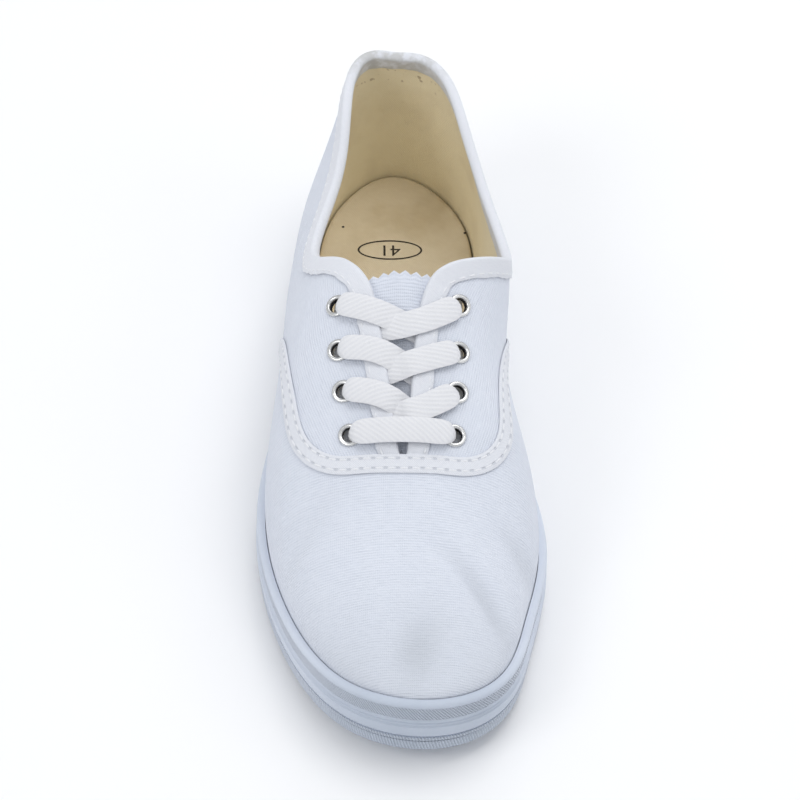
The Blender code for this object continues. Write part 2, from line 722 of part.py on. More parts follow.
def make_tongue(finish):
    """Tongue: a canvas sheet under the throat, sewn in under the vamp, with a pinked top edge."""
    columns = 2 * TONGUE_TEETH + 1
    x = np.linspace(-TONGUE_WIDTH / 2, TONGUE_WIDTH / 2, columns)
    shares = np.linspace(TONGUE_FRONT, TONGUE_TOP, TONGUE_ROWS)
    y = np.broadcast_to((LENGTH * (0.5 - shares))[:, None], (len(shares), columns)).copy()
    y[-1] += np.where(np.arange(columns) % 2, TONGUE_TOOTH, -TONGUE_TOOTH)
    middle = np.interp(shares, (THROAT_END, TONGUE_FRONT), (TONGUE_DROP, FIT))[:, None]
    point, normal = seat(*place(x + ridge(share_of(y))[..., 0], y))
    top = point - normal * (CANVAS + middle)[..., None]
    under = point - normal * (CANVAS + middle + TONGUE)[..., None]
    rows = np.concatenate((top, under[:, ::-1]), 1)
    return solid("tongue", *loft(list(rows)), finish, 50)


def ribbon(name, path, lift, width, finish):
    """Flat lace along plan points whose x is measured from the ridge, with a lift and a width at each."""
    x, y = np.array(path).T
    point, normal = seat(*place(x + ridge(share_of(y))[:, 0], y))
    along = np.gradient(point, axis=0)
    over = np.cross(normal, along)
    over /= np.linalg.norm(over, axis=1, keepdims=True)
    half = (np.asarray(width) / 2)[:, None]
    base = point + normal * np.asarray(lift)[:, None]
    flat = LACE / 4
    loops = (
        base - over * (half - flat),
        base - over * half + normal * LACE / 2,
        base - over * (half - flat) + normal * LACE,
        base + over * (half - flat) + normal * LACE,
        base + over * half + normal * LACE / 2,
        base + over * (half - flat),
    )
    return solid(name, *loft(list(np.stack(loops, 1))), finish, 50)


def lace_widths(shares):
    """Widths along a piece of lace from one eyelet, at -1, to the other, at 1, narrow in both."""
    return [LACE_NARROW + (LACE_WIDTH - LACE_NARROW) * min(1, 4 * (1 - abs(share))) for share in shares]


def make_lace(finish):
    """Lace: a bar over the lowest eyelets and a crossing at each pair above, joined in the middle."""
    low = 2 * FIT + 2 * EYELET_METAL
    high = low + LACE + FIT
    end = EYELETS[-1]
    reach = end.spread * EYELET_SPREAD / 2
    y = LENGTH * (0.5 - end.share)
    stations = ((-1.0, 0), (-0.86, 0.1), (-0.70, 0.8), (-0.52, 1.0), (-0.2, 1.0))
    stations += tuple((-share, rise) for share, rise in reversed(stations))
    path = [(share * reach, y) for share, _ in stations]
    lift = [low + rise * (high - low) for _, rise in stations]
    ribbon("lace_bar", path, lift, lace_widths([share for share, _ in stations]), finish)
    for number, (row, lower) in enumerate(zip(EYELETS, EYELETS[1:])):
        reach = row.spread * EYELET_SPREAD / 2
        y = LENGTH * (0.5 - row.share)
        fall = LENGTH * (lower.share - row.share) * row.spread / (row.spread + lower.spread)
        shares = (-1.0, -0.86, -0.66, -0.46, -0.26, -0.1, 0.0, 0.1, 0.26, 0.46, 0.66, 0.86, 1.0)
        path = [(share * reach, y - fall * (1 - abs(share))) for share in shares]
        ribbon("lace_crossing_%d" % (number + 1), path, [low] * len(path), lace_widths(shares), finish)


def main():
    canvas = material("canvas", (0.80, 0.84, 0.90), 0.90)
    tape = material("tape", (0.86, 0.87, 0.89), 0.90)
    rubber = material("rubber", (0.60, 0.68, 0.80), 0.55)
    lining = material("lining", (0.58, 0.47, 0.33), 0.90)
    nickel = material("nickel", (0.75, 0.74, 0.72), 0.25, 1.0)
    make_outsole(rubber)
    make_foxing(rubber)
    make_insole(lining)
    pierce(make_upper(canvas))
    make_tongue(canvas)
    make_collar_tape(tape)
    make_seam_tape(tape)
    make_eyelets(nickel)
    make_lace(tape)


main()
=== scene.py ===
import math

import bmesh
import bpy
import numpy as np
from mathutils import Matrix, Vector


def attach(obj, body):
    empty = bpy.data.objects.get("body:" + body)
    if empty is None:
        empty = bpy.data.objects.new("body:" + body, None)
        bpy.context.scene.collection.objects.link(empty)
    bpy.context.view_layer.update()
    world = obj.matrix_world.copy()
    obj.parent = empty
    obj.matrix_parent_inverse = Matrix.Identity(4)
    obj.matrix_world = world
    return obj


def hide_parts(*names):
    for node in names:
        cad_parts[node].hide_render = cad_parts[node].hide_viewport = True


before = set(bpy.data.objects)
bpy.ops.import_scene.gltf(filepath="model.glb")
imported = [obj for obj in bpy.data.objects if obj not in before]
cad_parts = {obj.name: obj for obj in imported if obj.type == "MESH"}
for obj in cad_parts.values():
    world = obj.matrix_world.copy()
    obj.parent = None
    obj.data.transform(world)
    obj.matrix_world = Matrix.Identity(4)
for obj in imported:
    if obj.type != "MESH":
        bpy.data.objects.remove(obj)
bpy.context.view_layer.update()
print("frame loaded")

shoe = {
    "length": 0.2720,
    "ballWidth": 0.0980,
    "heelWidth": 0.0665,
    "heelHeight": 0.0815,
    "ankleHeight": 0.0630,
    "instepHeight": 0.0880,
    "toeBoxHeight": 0.0385,
    "soleHeight": 0.0180,
    "toeBumperHeight": 0.0250,
    "toeSpring": 0.0080,
    "archRise": 0.0018,
    "archFrom": 0.29,
    "archTo": 0.54,
    "springFrom": 0.73,
    "fit": 0.0003,  # gap between pieces that meet
    "canvas": 0.0016,
    "foxing": 0.0030,
    "outsoleEdge": 0.0045,
    "wallBulge": 0.0120,
}

# Plan of the sole: share of the length, width, then lateral and medial shares of that width
planRows = [
    (0.000, "heelWidth", 0.009, -0.009),
    (0.035, "heelWidth", 0.271, 0.269),
    (0.120, "heelWidth", 0.461, 0.461),
    (0.250, "heelWidth", 0.517, 0.493),
    (0.380, "ballWidth", 0.376, 0.332),
    (0.500, "ballWidth", 0.450, 0.392),
    (0.620, "ballWidth", 0.504, 0.482),
    (0.720, "ballWidth", 0.490, 0.504),
    (0.820, "ballWidth", 0.422, 0.454),
    (0.910, "ballWidth", 0.312, 0.390),
    (0.970, "ballWidth", 0.172, 0.280),
    (1.000, "ballWidth", -0.064, 0.064),
]

# Ribs of the last: share at the foot, share at the ridge, then wall, bulge and crown on each side
lastColumns = (
    "share", "crest", "lateralWall", "lateralBulge", "lateralCrown",
    "medialWall", "medialBulge", "medialCrown",
)
lastRows = [
    (0.000, 0.230, 0.50, 0.30, 0.93, 0.50, 0.30, 0.93),
    (0.035, 0.236, 0.47, 0.50, 1.05, 0.50, 0.28, 0.97),
    (0.120, 0.262, 0.38, 1.43, -0.12, 0.50, 0.34, 0.51),
    (0.250, 0.316, 0.30, 2.14, -0.12, 0.50, 0.74, 0.89),
    (0.380, 0.402, 0.43, 2.00, 0.29, 0.52, 1.10, 1.50),
    (0.500, 0.503, 0.62, 0.60, 0.84, 0.62, 0.45, 0.94),
    (0.620, 0.620, 0.60, 0.25, 0.82, 0.60, 0.25, 0.80),
    (0.720, 0.718, 0.55, 0.20, 0.70, 0.54, 0.20, 0.62),
    (0.820, 0.812, 0.52, 0.12, 0.64, 0.51, 0.12, 0.58),
    (0.910, 0.886, 0.50, 0.06, 0.61, 0.50, 0.06, 0.58),
    (0.970, 0.922, 0.50, 0.00, 0.60, 0.50, 0.00, 0.60),
    (1.000, 0.930, 0.50, 0.00, 0.60, 0.50, 0.00, 0.60),
]

# Ridge: share, height as a share of a named size, and offset as a share of the ball's width
ridgeRows = [
    (0.200, "instepHeight", 1.260, 0.024),
    (0.300, "instepHeight", 1.210, 0.029),
    (0.400, "instepHeight", 1.105, 0.000),
    (0.495, "instepHeight", 0.945, -0.019),
    (0.600, "instepHeight", 0.780, -0.013),
    (0.680, "instepHeight", 0.655, -0.004),
    (0.760, "instepHeight", 0.556, 0.004),
    (0.850, "toeBoxHeight", 1.100, 0.024),
    (0.900, "toeBoxHeight", 1.015, 0.038),
    (0.935, "toeBoxHeight", 0.950, 0.046),
]

foxingTopRows = [
    (0.00, "soleHeight", 1.12),
    (0.20, "soleHeight", 1.05),
    (0.45, "soleHeight", 1.00),
    (0.70, "soleHeight", 1.02),
    (0.88, "toeBumperHeight", 0.90),
    (0.96, "toeBumperHeight", 1.10),
    (1.00, "toeBumperHeight", 1.24),
]

collarRows = [
    (0.000, "heelHeight", 0.981),
    (0.050, "heelHeight", 0.965),
    (0.120, "heelHeight", 0.935),
    (0.200, "ankleHeight", 1.085),
    (0.290, "ankleHeight", 1.030),
    (0.386, "ankleHeight", 1.150),
    (0.430, "instepHeight", 0.9629),
    (0.466, "instepHeight", 1.0452),
    (0.520, "instepHeight", 1.1455),
]


def spline(knots, values, at, period=None):
    knot = np.asarray(knots, float)
    value = np.asarray(values, float)
    if period:
        knot = np.concatenate((knot[-5:] - period, knot, knot[:5] + period))
        value = np.concatenate((value[-5:], value, value[:5]))
    step = np.diff(knot)
    slope = np.diff(value) / step
    matrix = np.eye(len(knot))
    right = np.zeros(len(knot))
    for i in range(1, len(knot) - 1):
        matrix[i, i - 1 : i + 2] = step[i - 1], 2 * (step[i - 1] + step[i]), step[i]
        right[i] = 6 * (slope[i] - slope[i - 1])
    bend = np.linalg.solve(matrix, right)
    at = np.asarray(at, float)
    i = np.clip(np.searchsorted(knot, at) - 1, 0, len(knot) - 2)
    a = (knot[i + 1] - at) / step[i]
    b = (at - knot[i]) / step[i]
    curve = ((a**3 - a) * bend[i] + (b**3 - b) * bend[i + 1]) * step[i] ** 2 / 6
    return a * value[i] + b * value[i + 1] + curve


def angleOf(share):
    return np.arccos(np.clip(1 - 2 * np.asarray(share, float), -1, 1))


def shareOf(y):
    return 0.5 - np.asarray(y, float) / shoe["length"]


def heights(rows, share):
    return spline([row[0] for row in rows], [row[2] * shoe[row[1]] for row in rows], share)


def around(column, angle):
    values = [row[lastColumns.index(column)] for row in lastRows]
    folded = np.pi - np.abs(np.pi - np.mod(angle, 2 * np.pi))
    knots = [float(angleOf(row[0])) for row in lastRows]
    knots = [-knot for knot in knots[3:0:-1]] + knots + [2 * np.pi - knot for knot in knots[-2:-5:-1]]
    return spline(knots, values[3:0:-1] + values + values[-2:-5:-1], folded)


def handle(word, angle):
    return np.where(np.sin(angle) >= 0, around("lateral" + word, angle), around("medial" + word, angle))


def outline(angle):
    knots = [float(angleOf(row[0])) for row in planRows]
    acrossShoe = [-row[2] * shoe[row[1]] for row in planRows]
    for row in reversed(planRows[1:-1]):
        knots.append(2 * np.pi - float(angleOf(row[0])))
        acrossShoe.append(row[3] * shoe[row[1]])
    angle = np.mod(np.asarray(angle, float), 2 * np.pi)
    return np.stack((spline(knots, acrossShoe, angle, 2 * np.pi), shoe["length"] / 2 * np.cos(angle)), -1)


def outward(angle):
    small = 1e-3
    along = outline(np.asarray(angle) + small) - outline(np.asarray(angle) - small)
    normal = np.stack((along[..., 1], -along[..., 0]), -1)
    return normal / np.linalg.norm(normal, axis=-1, keepdims=True)


def inset(angle, distance):
    return outline(angle) - outward(angle) * distance


def underside(share):
    arch = np.clip((share - shoe["archFrom"]) / (shoe["archTo"] - shoe["archFrom"]), 0, 1)
    spring = np.clip((share - shoe["springFrom"]) / (1 - shoe["springFrom"]), 0, 1)
    return shoe["archRise"] * np.sin(np.pi * arch) ** 2 + shoe["toeSpring"] * spring**2


def ridge(share):
    x = spline([row[0] for row in ridgeRows], [row[3] * shoe["ballWidth"] for row in ridgeRows], share)
    return np.stack((x, shoe["length"] * (0.5 - share), heights(ridgeRows, share)), -1)


def last(angle, rise):
    angle, rise = np.broadcast_arrays(np.asarray(angle, float), np.asarray(rise, float))
    foot = inset(angle, shoe["foxing"] + shoe["fit"])
    low = underside(shareOf(foot[..., 1])) + shoe["outsoleEdge"] + shoe["fit"]
    top = heights(foxingTopRows, shareOf(outline(angle)[..., 1]))
    share = around("crest", angle)
    crest = ridge(share)
    small = 1e-3
    climb = (ridge(share - small)[..., 2] - ridge(share + small)[..., 2]) / (2 * small * shoe["length"])
    first = np.concatenate((foot, top[..., None]), -1)
    second = first.copy()
    second[..., :2] += outward(angle) * (shoe["wallBulge"] * handle("Bulge", angle))[..., None]
    second[..., 2] += handle("Wall", angle) * (crest[..., 2] - top)
    third = crest.copy()
    third[..., :2] += (foot - crest[..., :2]) * handle("Crown", angle)[..., None]
    third[..., 2] += climb * (third[..., 1] - crest[..., 1])
    t = np.clip(rise, 0, 1)[..., None]
    point = first * (1 - t) ** 3 + 3 * second * t * (1 - t) ** 2 + 3 * third * t**2 * (1 - t) + crest * t**3
    point[..., 2] += np.clip(-rise, 0, 1) * (low - top)
    return point


def across(share, side):
    share, side = np.broadcast_arrays(np.asarray(share, float), np.asarray(side, float))
    angle = angleOf(share)
    return last(np.where(side > 0, -angle, angle), 1 - np.abs(side))


def directions(surface, a, b):
    small = 1e-3
    alongA = (surface(a + small, b) - surface(a - small, b)) / (2 * small)
    alongB = (surface(a, b + small) - surface(a, b - small)) / (2 * small)
    normal = np.cross(alongA, alongB)
    return normal / np.linalg.norm(normal, axis=-1, keepdims=True), alongA, alongB


def lastNormal(angle, rise):
    angle, rise = np.broadcast_arrays(np.asarray(angle, float), np.asarray(rise, float))
    inside = np.clip(rise, 0.004, 0.97)
    normal = directions(last, angle, inside)[0]
    mate = directions(last, -angle, inside)[0]
    blend = np.clip((rise - 0.9) / 0.1, 0, 1)[..., None] / 2
    normal = normal * (1 - blend) + mate * blend
    level = np.concatenate((outward(angle), np.zeros(angle.shape + (1,))), -1)
    normal = np.where(rise[..., None] <= 0, level, normal)
    return normal / np.linalg.norm(normal, axis=-1, keepdims=True)


def settle(target, share, side):  # nearest point of the last to each target
    for _ in range(8):
        away = target - across(share, side)
        _, along, over = directions(across, share, side)
        aa, bb, ab = (along * along).sum(-1), (over * over).sum(-1), (along * over).sum(-1)
        ra, rb = (along * away).sum(-1), (over * away).sum(-1)
        scale = aa * bb - ab * ab
        share = share + np.clip((bb * ra - ab * rb) / scale, -0.02, 0.02)
        side = side + np.clip((aa * rb - ab * ra) / scale, -0.1, 0.1)
    return share, side


def place(x, y):  # share and side of the last's point above a plan point on its crown
    x, y = np.broadcast_arrays(np.asarray(x, float), np.asarray(y, float))
    share, side = shareOf(y), x / (0.8 * shoe["ballWidth"])
    for _ in range(12):
        point = across(share, side)
        _, along, over = directions(across, share, side)
        det = along[..., 0] * over[..., 1] - along[..., 1] * over[..., 0]
        dx, dy = x - point[..., 0], y - point[..., 1]
        share = share + np.clip((over[..., 1] * dx - over[..., 0] * dy) / det, -0.02, 0.02)
        side = side + np.clip((along[..., 0] * dy - along[..., 1] * dx) / det, -0.08, 0.08)
    return share, side


def seat(share, side):
    angle = np.where(np.asarray(side) > 0, -angleOf(share), angleOf(share))
    return across(share, side), lastNormal(angle, 1 - np.abs(side))


def firstCrossing(values, grid):
    below = values <= 0
    j = np.clip(below.argmax(-1), 1, None)
    rows = np.arange(len(values))
    high, low = values[rows, j - 1], values[rows, j]
    part = high / np.where(high == low, 1, high - low)
    return np.where(below.any(-1), grid[j - 1] + part * (grid[j] - grid[j - 1]), grid[-1])


def unit(vectors):
    return vectors / np.maximum(np.linalg.norm(vectors, axis=-1, keepdims=True), 1e-12)


def arcLength(points):
    return np.concatenate(((0.0,), np.cumsum(np.linalg.norm(np.diff(points, axis=0), axis=1))))


# Forms that a shape and its material share

seamForm = {
    "width": 0.0065,
    "thick": 0.0007,
    "edge": 0.0003,
    "points": 260,
    "columns": 9,
    "stitchRows": (-0.0017, 0.0018),
}
stitchForm = {"pitch": 0.0041, "length": 0.0027, "radius": 0.00026, "sink": 0.00012, "ring": 6}
laceForm = {
    "width": 0.0088,
    "narrow": 0.0042,
    "thick": 0.0011,
    "ridge": 0.00010,
    "pitch": 0.0015,
    "columns": 29,
    "step": 0.0003,
    "over": 0.0011,  # the medial end lies on the lateral one
    "crowned": 0.0003,
    "leftTurn": 38,  # of the ridges, in degrees
    "rightTurn": -25,
    "barTurn": -40,
    "leftBow": (0.0000, -0.0022, -0.0020),  # towards the toe on the facing
    "rightBow": (0.0028, 0.0006, 0.0020),
}


# Materials

class Signal:
    def __init__(self, paint, socket):
        self.paint = paint
        self.socket = socket

    def math(self, operation, a, b=None):
        sockets = {0: a} if b is None else {0: a, 1: b}
        return self.paint.node("ShaderNodeMath", {"operation": operation}, sockets)

    def __add__(self, other):
        return self.math("ADD", self, other)

    def __radd__(self, other):
        return self.math("ADD", other, self)

    def __sub__(self, other):
        return self.math("SUBTRACT", self, other)

    def __rsub__(self, other):
        return self.math("SUBTRACT", other, self)

    def __mul__(self, other):
        return self.math("MULTIPLY", self, other)

    def __abs__(self):
        return self.math("ABSOLUTE", self)

    def sine(self):
        return self.math("SINE", self)

    def over(self, edge, width):  # 0 below the edge, 1 above it, soft over a width
        return self.paint.node(
            "ShaderNodeMapRange", {"interpolation_type": "SMOOTHSTEP"},
            {0: self, 1: edge - width / 2, 2: edge + width / 2},
        )


class Paint:
    def __init__(self, name, **fixed):
        self.material = bpy.data.materials.new(name)
        self.material.use_nodes = True
        self.tree = self.material.node_tree
        self.shader = self.tree.nodes["Principled BSDF"]
        for socket, value in fixed.items():
            self.feed(self.shader.inputs[socket.replace("_", " ")], value)

    def feed(self, socket, value):
        if isinstance(value, Signal):
            self.tree.links.new(value.socket, socket)
        else:
            socket.default_value = value

    def node(self, kind, settings=None, sockets=None, out=0):
        made = self.tree.nodes.new(kind)
        for key, value in (settings or {}).items():
            setattr(made, key, value)
        for key, value in (sockets or {}).items():
            self.feed(made.inputs[key], value)
        return Signal(self, made.outputs[out])

    def part(self, vector, axis):
        return self.node("ShaderNodeSeparateXYZ", None, {0: vector}, axis)

    def uv(self, layer):
        found = self.node("ShaderNodeUVMap", {"uv_map": layer})
        return self.part(found, 0), self.part(found, 1)

    def vector(self, x, y):
        return self.node("ShaderNodeCombineXYZ", None, {0: x, 1: y})

    def objectPoint(self):
        return self.node("ShaderNodeTexCoord", None, None, 3)

    def noise(self, vector, scale, detail=3.0, roughness=0.55):
        return self.node(
            "ShaderNodeTexNoise", None,
            {"Vector": vector, "Scale": scale, "Detail": detail, "Roughness": roughness},
        )

    def mix(self, factor, a, b):
        a, b = ((*c, 1.0) if isinstance(c, tuple) else c for c in (a, b))
        return self.node("ShaderNodeMix", {"data_type": "RGBA"}, {0: factor, 6: a, 7: b}, 2)

    def bump(self, height, distance, strength, under=None):
        sockets = {"Height": height, "Distance": distance, "Strength": strength}
        if under is not None:
            sockets["Normal"] = under
        return self.node("ShaderNodeBump", None, sockets)

    def finish(self, **links):
        for socket, value in links.items():
            self.feed(self.shader.inputs[socket.replace("_", " ")], value)
        return self.material


cloth = {
    "canvasLight": (0.76, 0.79, 0.86),
    "canvasShade": (0.60, 0.64, 0.73),
    # darker canvas towards the toe, also painted shade in the troughs of the folds
    "canvasToeDarkAndFoldShade": (0.50, 0.53, 0.58),
    "weft": 0.00092,
    "warp": 0.00070,
    "tapeTwill": 0.00075,
    "liningTwill": 0.00080,
    "heelFrom": 0.122,  # the binding and the lining are worn behind this
    "toeDarkFrom": -0.104,
    "tapeLight": (0.80, 0.815, 0.85),
    "tapeShade": (0.64, 0.66, 0.73),
    "holeShade": (0.44, 0.47, 0.54),
    "rubbed": (0.40, 0.39, 0.35),
    "threadLight": (0.86, 0.865, 0.88),
    "threadShade": (0.72, 0.735, 0.78),
    "liningLight": (0.96, 0.885, 0.69),
    "liningShade": (0.88, 0.78, 0.54),
    "liningWorn": (0.30, 0.20, 0.11),
    "liningStain": (0.50, 0.38, 0.20),
    "insoleLight": (0.88, 0.79, 0.62),
    "insoleShade": (0.72, 0.61, 0.43),
    "laceLight": (0.80, 0.80, 0.81),
    "laceShade": (0.62, 0.63, 0.68),
    # colours of the printed mark, also used for the painted shade in the two pinholes
    "inkAndPinholeShadeLight": (0.08, 0.065, 0.05),
    "inkAndPinholeShadeDark": (0.015, 0.014, 0.012),
    "liningDamp": 0.20,  # strength of the stain at the heel
    "insoleDamp": 0.45,
}


def makeCanvas():
    paint = Paint("canvas", Specular_IOR_Level=0.25, Sheen_Weight=0.15, Sheen_Roughness=0.5)
    u, v = paint.uv("cloth")
    drift = paint.noise(paint.vector(u, v), 220.0, 2.0)
    weft = abs((v * (math.pi / cloth["weft"]) + drift * 1.6).sine())
    warp = abs((u * (math.pi / cloth["warp"]) + drift * 1.6).sine())
    slub = paint.noise(paint.vector(u * 300.0, v * 1500.0), 1.0, 2.0).over(0.5, 0.6)
    blotch = paint.noise(paint.vector(u, v), 70.0, 4.0)
    pucker = paint.noise(paint.vector(u * 45.0, v * 60.0), 1.0, 2.0)
    y = paint.part(paint.objectPoint(), 1)
    # darker towards the toe, in patches
    toeDark = (1 - y.over(cloth["toeDarkFrom"], 0.050)) * (0.30 + blotch * 0.5)
    paintedFoldShade, _ = paint.uv("paintedFoldShade")
    tone = weft * 0.32 + warp * 0.14 + slub * 0.30 + blotch * 0.34
    colour = paint.mix(tone, cloth["canvasShade"], cloth["canvasLight"])
    # darker towards the toe, and painted shade in the troughs of the folds
    colour = paint.mix(toeDark * 0.60 + paintedFoldShade * 0.45, colour, cloth["canvasToeDarkAndFoldShade"])
    soft = paint.bump(pucker, 0.0020, 0.4)
    threads = weft * 0.50 + warp * 0.25 + slub * 0.40
    return paint.finish(Base_Color=colour, Roughness=0.92, Normal=paint.bump(threads, 0.00024, 0.8, soft))


def makeTape(name, stitchRows):
    paint = Paint(name, Specular_IOR_Level=0.25, Sheen_Weight=0.15, Sheen_Roughness=0.5)
    u, v = paint.uv("cloth")
    twill = abs(((u + v) * (math.pi / cloth["tapeTwill"])).sine())
    grain = paint.noise(paint.vector(u * 700.0, v * 700.0), 1.0, 3.0)
    between = 1 - abs((u * (math.pi / stitchForm["pitch"])).sine()).over(0.45, 0.3)
    groove = u * 0.0
    for row in stitchRows:
        groove = (1 - abs(v - row).over(0.00036, 0.0004)) + groove  # the thread pulls the tape in
    holes = groove * between
    colour = paint.mix(0.2 + twill * 0.3 + grain * 0.5, cloth["tapeShade"], cloth["tapeLight"])
    # painted shade in the stitch grooves and in the dashes between the stitches
    colour = paint.mix(groove * 0.10 + holes * 0.34, colour, cloth["holeShade"])
    y = paint.part(paint.objectPoint(), 1)
    rub = paint.noise(paint.objectPoint(), 260.0, 4.0).over(0.46, 0.26) * y.over(cloth["heelFrom"], 0.02)
    colour = paint.mix(rub * 0.62, colour, cloth["rubbed"])
    height = twill * 0.25 + grain * 0.25 - groove * 0.5 - holes * 0.8
    return paint.finish(Base_Color=colour, Roughness=0.9, Normal=paint.bump(height, 0.0003, 0.8))


def makeThread():
    paint = Paint("stitching", Specular_IOR_Level=0.3)
    grain = paint.noise(paint.objectPoint(), 2500.0, 2.0)
    colour = paint.mix(grain, cloth["threadShade"], cloth["threadLight"])
    return paint.finish(Base_Color=colour, Roughness=0.8, Normal=paint.bump(grain, 0.00008, 0.5))


def makeLining(name, shade, light, damp):
    paint = Paint(name, Specular_IOR_Level=0.2, Sheen_Weight=0.1, Sheen_Roughness=0.5)
    u, v = paint.uv("cloth")
    twill = abs(((u + v * 0.6) * (math.pi / cloth["liningTwill"])).sine())
    grain = paint.noise(paint.vector(u * 500.0, v * 500.0), 1.0, 3.0)
    cloud = paint.noise(paint.objectPoint(), 45.0, 3.0)
    colour = paint.mix(twill * 0.2 + grain * 0.4 + cloud * 0.4, shade, light)
    spot = paint.noise(paint.objectPoint(), 330.0, 4.0)
    y, z = paint.part(paint.objectPoint(), 1), paint.part(paint.objectPoint(), 2)
    worn = spot.over(0.64, 0.05) * y.over(cloth["heelFrom"], 0.012) * z.over(0.062, 0.01)
    colour = paint.mix(worn * 0.6, colour, cloth["liningWorn"])
    stain = cloud.over(0.55, 0.3) * y.over(0.08, 0.06)
    colour = paint.mix(stain * damp, colour, cloth["liningStain"])
    threads = paint.bump(twill * 0.5 + grain * 0.5, 0.00014, 0.7)
    return paint.finish(Base_Color=colour, Roughness=0.92, Normal=threads)


rubber = {
    "light": (0.68, 0.725, 0.81),
    "shade": (0.55, 0.60, 0.695),
    # darker rubber at the toe's front: dirt and painted shade
    "toeDirtAndShade": (0.33, 0.39, 0.48),
    "knurlPitch": 0.00115,
    "ribPitch": 0.0011,
    "repeat": 0.0253,  # 22 knurls or 23 ribs
    "knurlFrom": 0.585,  # shares of the foxing's height
    "knurlTo": 0.885,
    "ribsTo": 0.105,
    "toeDirtAndShadeFrom": -0.118,
}


def toeDirtAndShadeMask(paint, dirt):  # dirt and painted shade, darkest at the toe's front
    y = paint.part(paint.objectPoint(), 1)
    return (1 - y.over(rubber["toeDirtAndShadeFrom"], 0.04)) * (0.25 + dirt * 0.6)


def makeFoxingRubber():
    paint = Paint("foxingRubber", Specular_IOR_Level=0.45)
    u, v = paint.uv("cloth")
    _, rise = paint.uv("band")
    knurl = abs(((u + v * 0.8) * (math.pi / rubber["knurlPitch"])).sine())
    ribs = abs(((u + v * 0.3) * (math.pi / rubber["ribPitch"])).sine())
    knurlBand = rise.over(rubber["knurlFrom"], 0.02) * (1 - rise.over(rubber["knurlTo"], 0.02))
    ribBand = 1 - rise.over(rubber["ribsTo"], 0.02)
    pattern = knurl * knurlBand + ribs * ribBand
    plain = 1 - (knurlBand + ribBand)
    grain = paint.noise(paint.vector(u, v), 900.0, 3.0)
    dirt = paint.noise(paint.vector(u, v), 60.0, 5.0, 0.65)
    tone = 0.15 + grain * 0.2 + dirt * 0.4 + pattern * 0.3 + plain * 0.15
    colour = paint.mix(tone, rubber["shade"], rubber["light"])
    colour = paint.mix(toeDirtAndShadeMask(paint, dirt) * 0.8, colour, rubber["toeDirtAndShade"])
    height = pattern + grain * 0.12 + plain * 0.5
    relief = paint.bump(height, 0.0005, 0.9)
    return paint.finish(Base_Color=colour, Roughness=0.55 + grain * 0.15, Normal=relief)


def makeOutsoleRubber():
    paint = Paint("outsoleRubber", Specular_IOR_Level=0.45)
    u, v = paint.uv("cloth")
    _, rise = paint.uv("band")
    side = rise.over(0.5, 0.2)
    ribs = abs(((u + v * 0.3) * (math.pi / rubber["ribPitch"])).sine()) * side
    wave = ((v * 420.0).sine() * 0.9 + u * 900.0).sine() * (1 - side)
    grain = paint.noise(paint.vector(u, v), 900.0, 3.0)
    dirt = paint.noise(paint.vector(u, v), 60.0, 5.0, 0.65)
    colour = paint.mix(0.2 + grain * 0.3 + dirt * 0.2 + ribs * 0.2, rubber["shade"], rubber["light"])
    colour = paint.mix(toeDirtAndShadeMask(paint, dirt) * 0.8, colour, rubber["toeDirtAndShade"])
    height = ribs + wave * 1.2 + grain * 0.12
    relief = paint.bump(height, 0.0004, 0.9)
    return paint.finish(Base_Color=colour, Roughness=0.6 + grain * 0.15, Normal=relief)


metal = {
    "nickelLight": (0.80, 0.80, 0.79),
    "nickelShade": (0.60, 0.60, 0.60),
    "nickelRough": 0.18,
    # near black colours for the eyelets' bores: painted shade of the deep holes
    "boreShadeLight": (0.08, 0.08, 0.09),
    "boreShadeDark": (0.03, 0.03, 0.035),
    "barrelRough": 0.50,
}


def makeNickel(name, shade, light, rough):
    paint = Paint(name, Metallic=1.0)
    grain = paint.noise(paint.objectPoint(), 900.0, 4.0)
    colour = paint.mix(grain, shade, light)
    polish = paint.bump(grain, 0.00003, 0.4)
    return paint.finish(Base_Color=colour, Roughness=rough + grain * 0.18, Normal=polish)


def makeLaceCloth():
    paint = Paint("laceCloth", Specular_IOR_Level=0.25, Sheen_Weight=0.15, Sheen_Roughness=0.5)
    u, v = paint.uv("cloth")
    fibre = paint.noise(paint.vector(u * 2600.0, v * 1300.0), 1.0, 2.0)
    # lighter on the ridges and darker between them: painted shade
    paintedRidgeShade = (u * (2 * math.pi / laceForm["pitch"])).sine() * 0.5 + 0.5
    colour = paint.mix(0.3 + paintedRidgeShade * 0.24 + fibre * 0.5, cloth["laceShade"], cloth["laceLight"])
    return paint.finish(Base_Color=colour, Roughness=0.9, Normal=paint.bump(fibre, 0.00014, 0.6))


def makeInkAndPinholeShade():
    paint = Paint("insoleInkAndPinholeShade", Specular_IOR_Level=0.2)
    grain = paint.noise(paint.objectPoint(), 1500.0, 2.0)
    colour = paint.mix(grain, cloth["inkAndPinholeShadeDark"], cloth["inkAndPinholeShadeLight"])
    return paint.finish(Base_Color=colour, Roughness=0.85)


finishes = {
    "canvas": makeCanvas(),
    "collarTape": makeTape("collarTapeCloth", ()),
    "seamTape": makeTape("seamTapeCloth", seamForm["stitchRows"]),
    "thread": makeThread(),
    "lining": makeLining("lining", cloth["liningShade"], cloth["liningLight"], cloth["liningDamp"]),
    "insole": makeLining("insoleCloth", cloth["insoleShade"], cloth["insoleLight"], cloth["insoleDamp"]),
    "foxing": makeFoxingRubber(),
    "outsole": makeOutsoleRubber(),
    "nickel": makeNickel("nickel", metal["nickelShade"], metal["nickelLight"], metal["nickelRough"]),
    # the bores are painted near black as the shade in the holes
    "barrel": makeNickel("nickelBarrelPaintedShade", metal["boreShadeDark"], metal["boreShadeLight"], metal["barrelRough"]),
    "lace": makeLaceCloth(),
    "inkAndPinholeShade": makeInkAndPinholeShade(),
}
print("materials made:", len(finishes))


# Mesh helpers

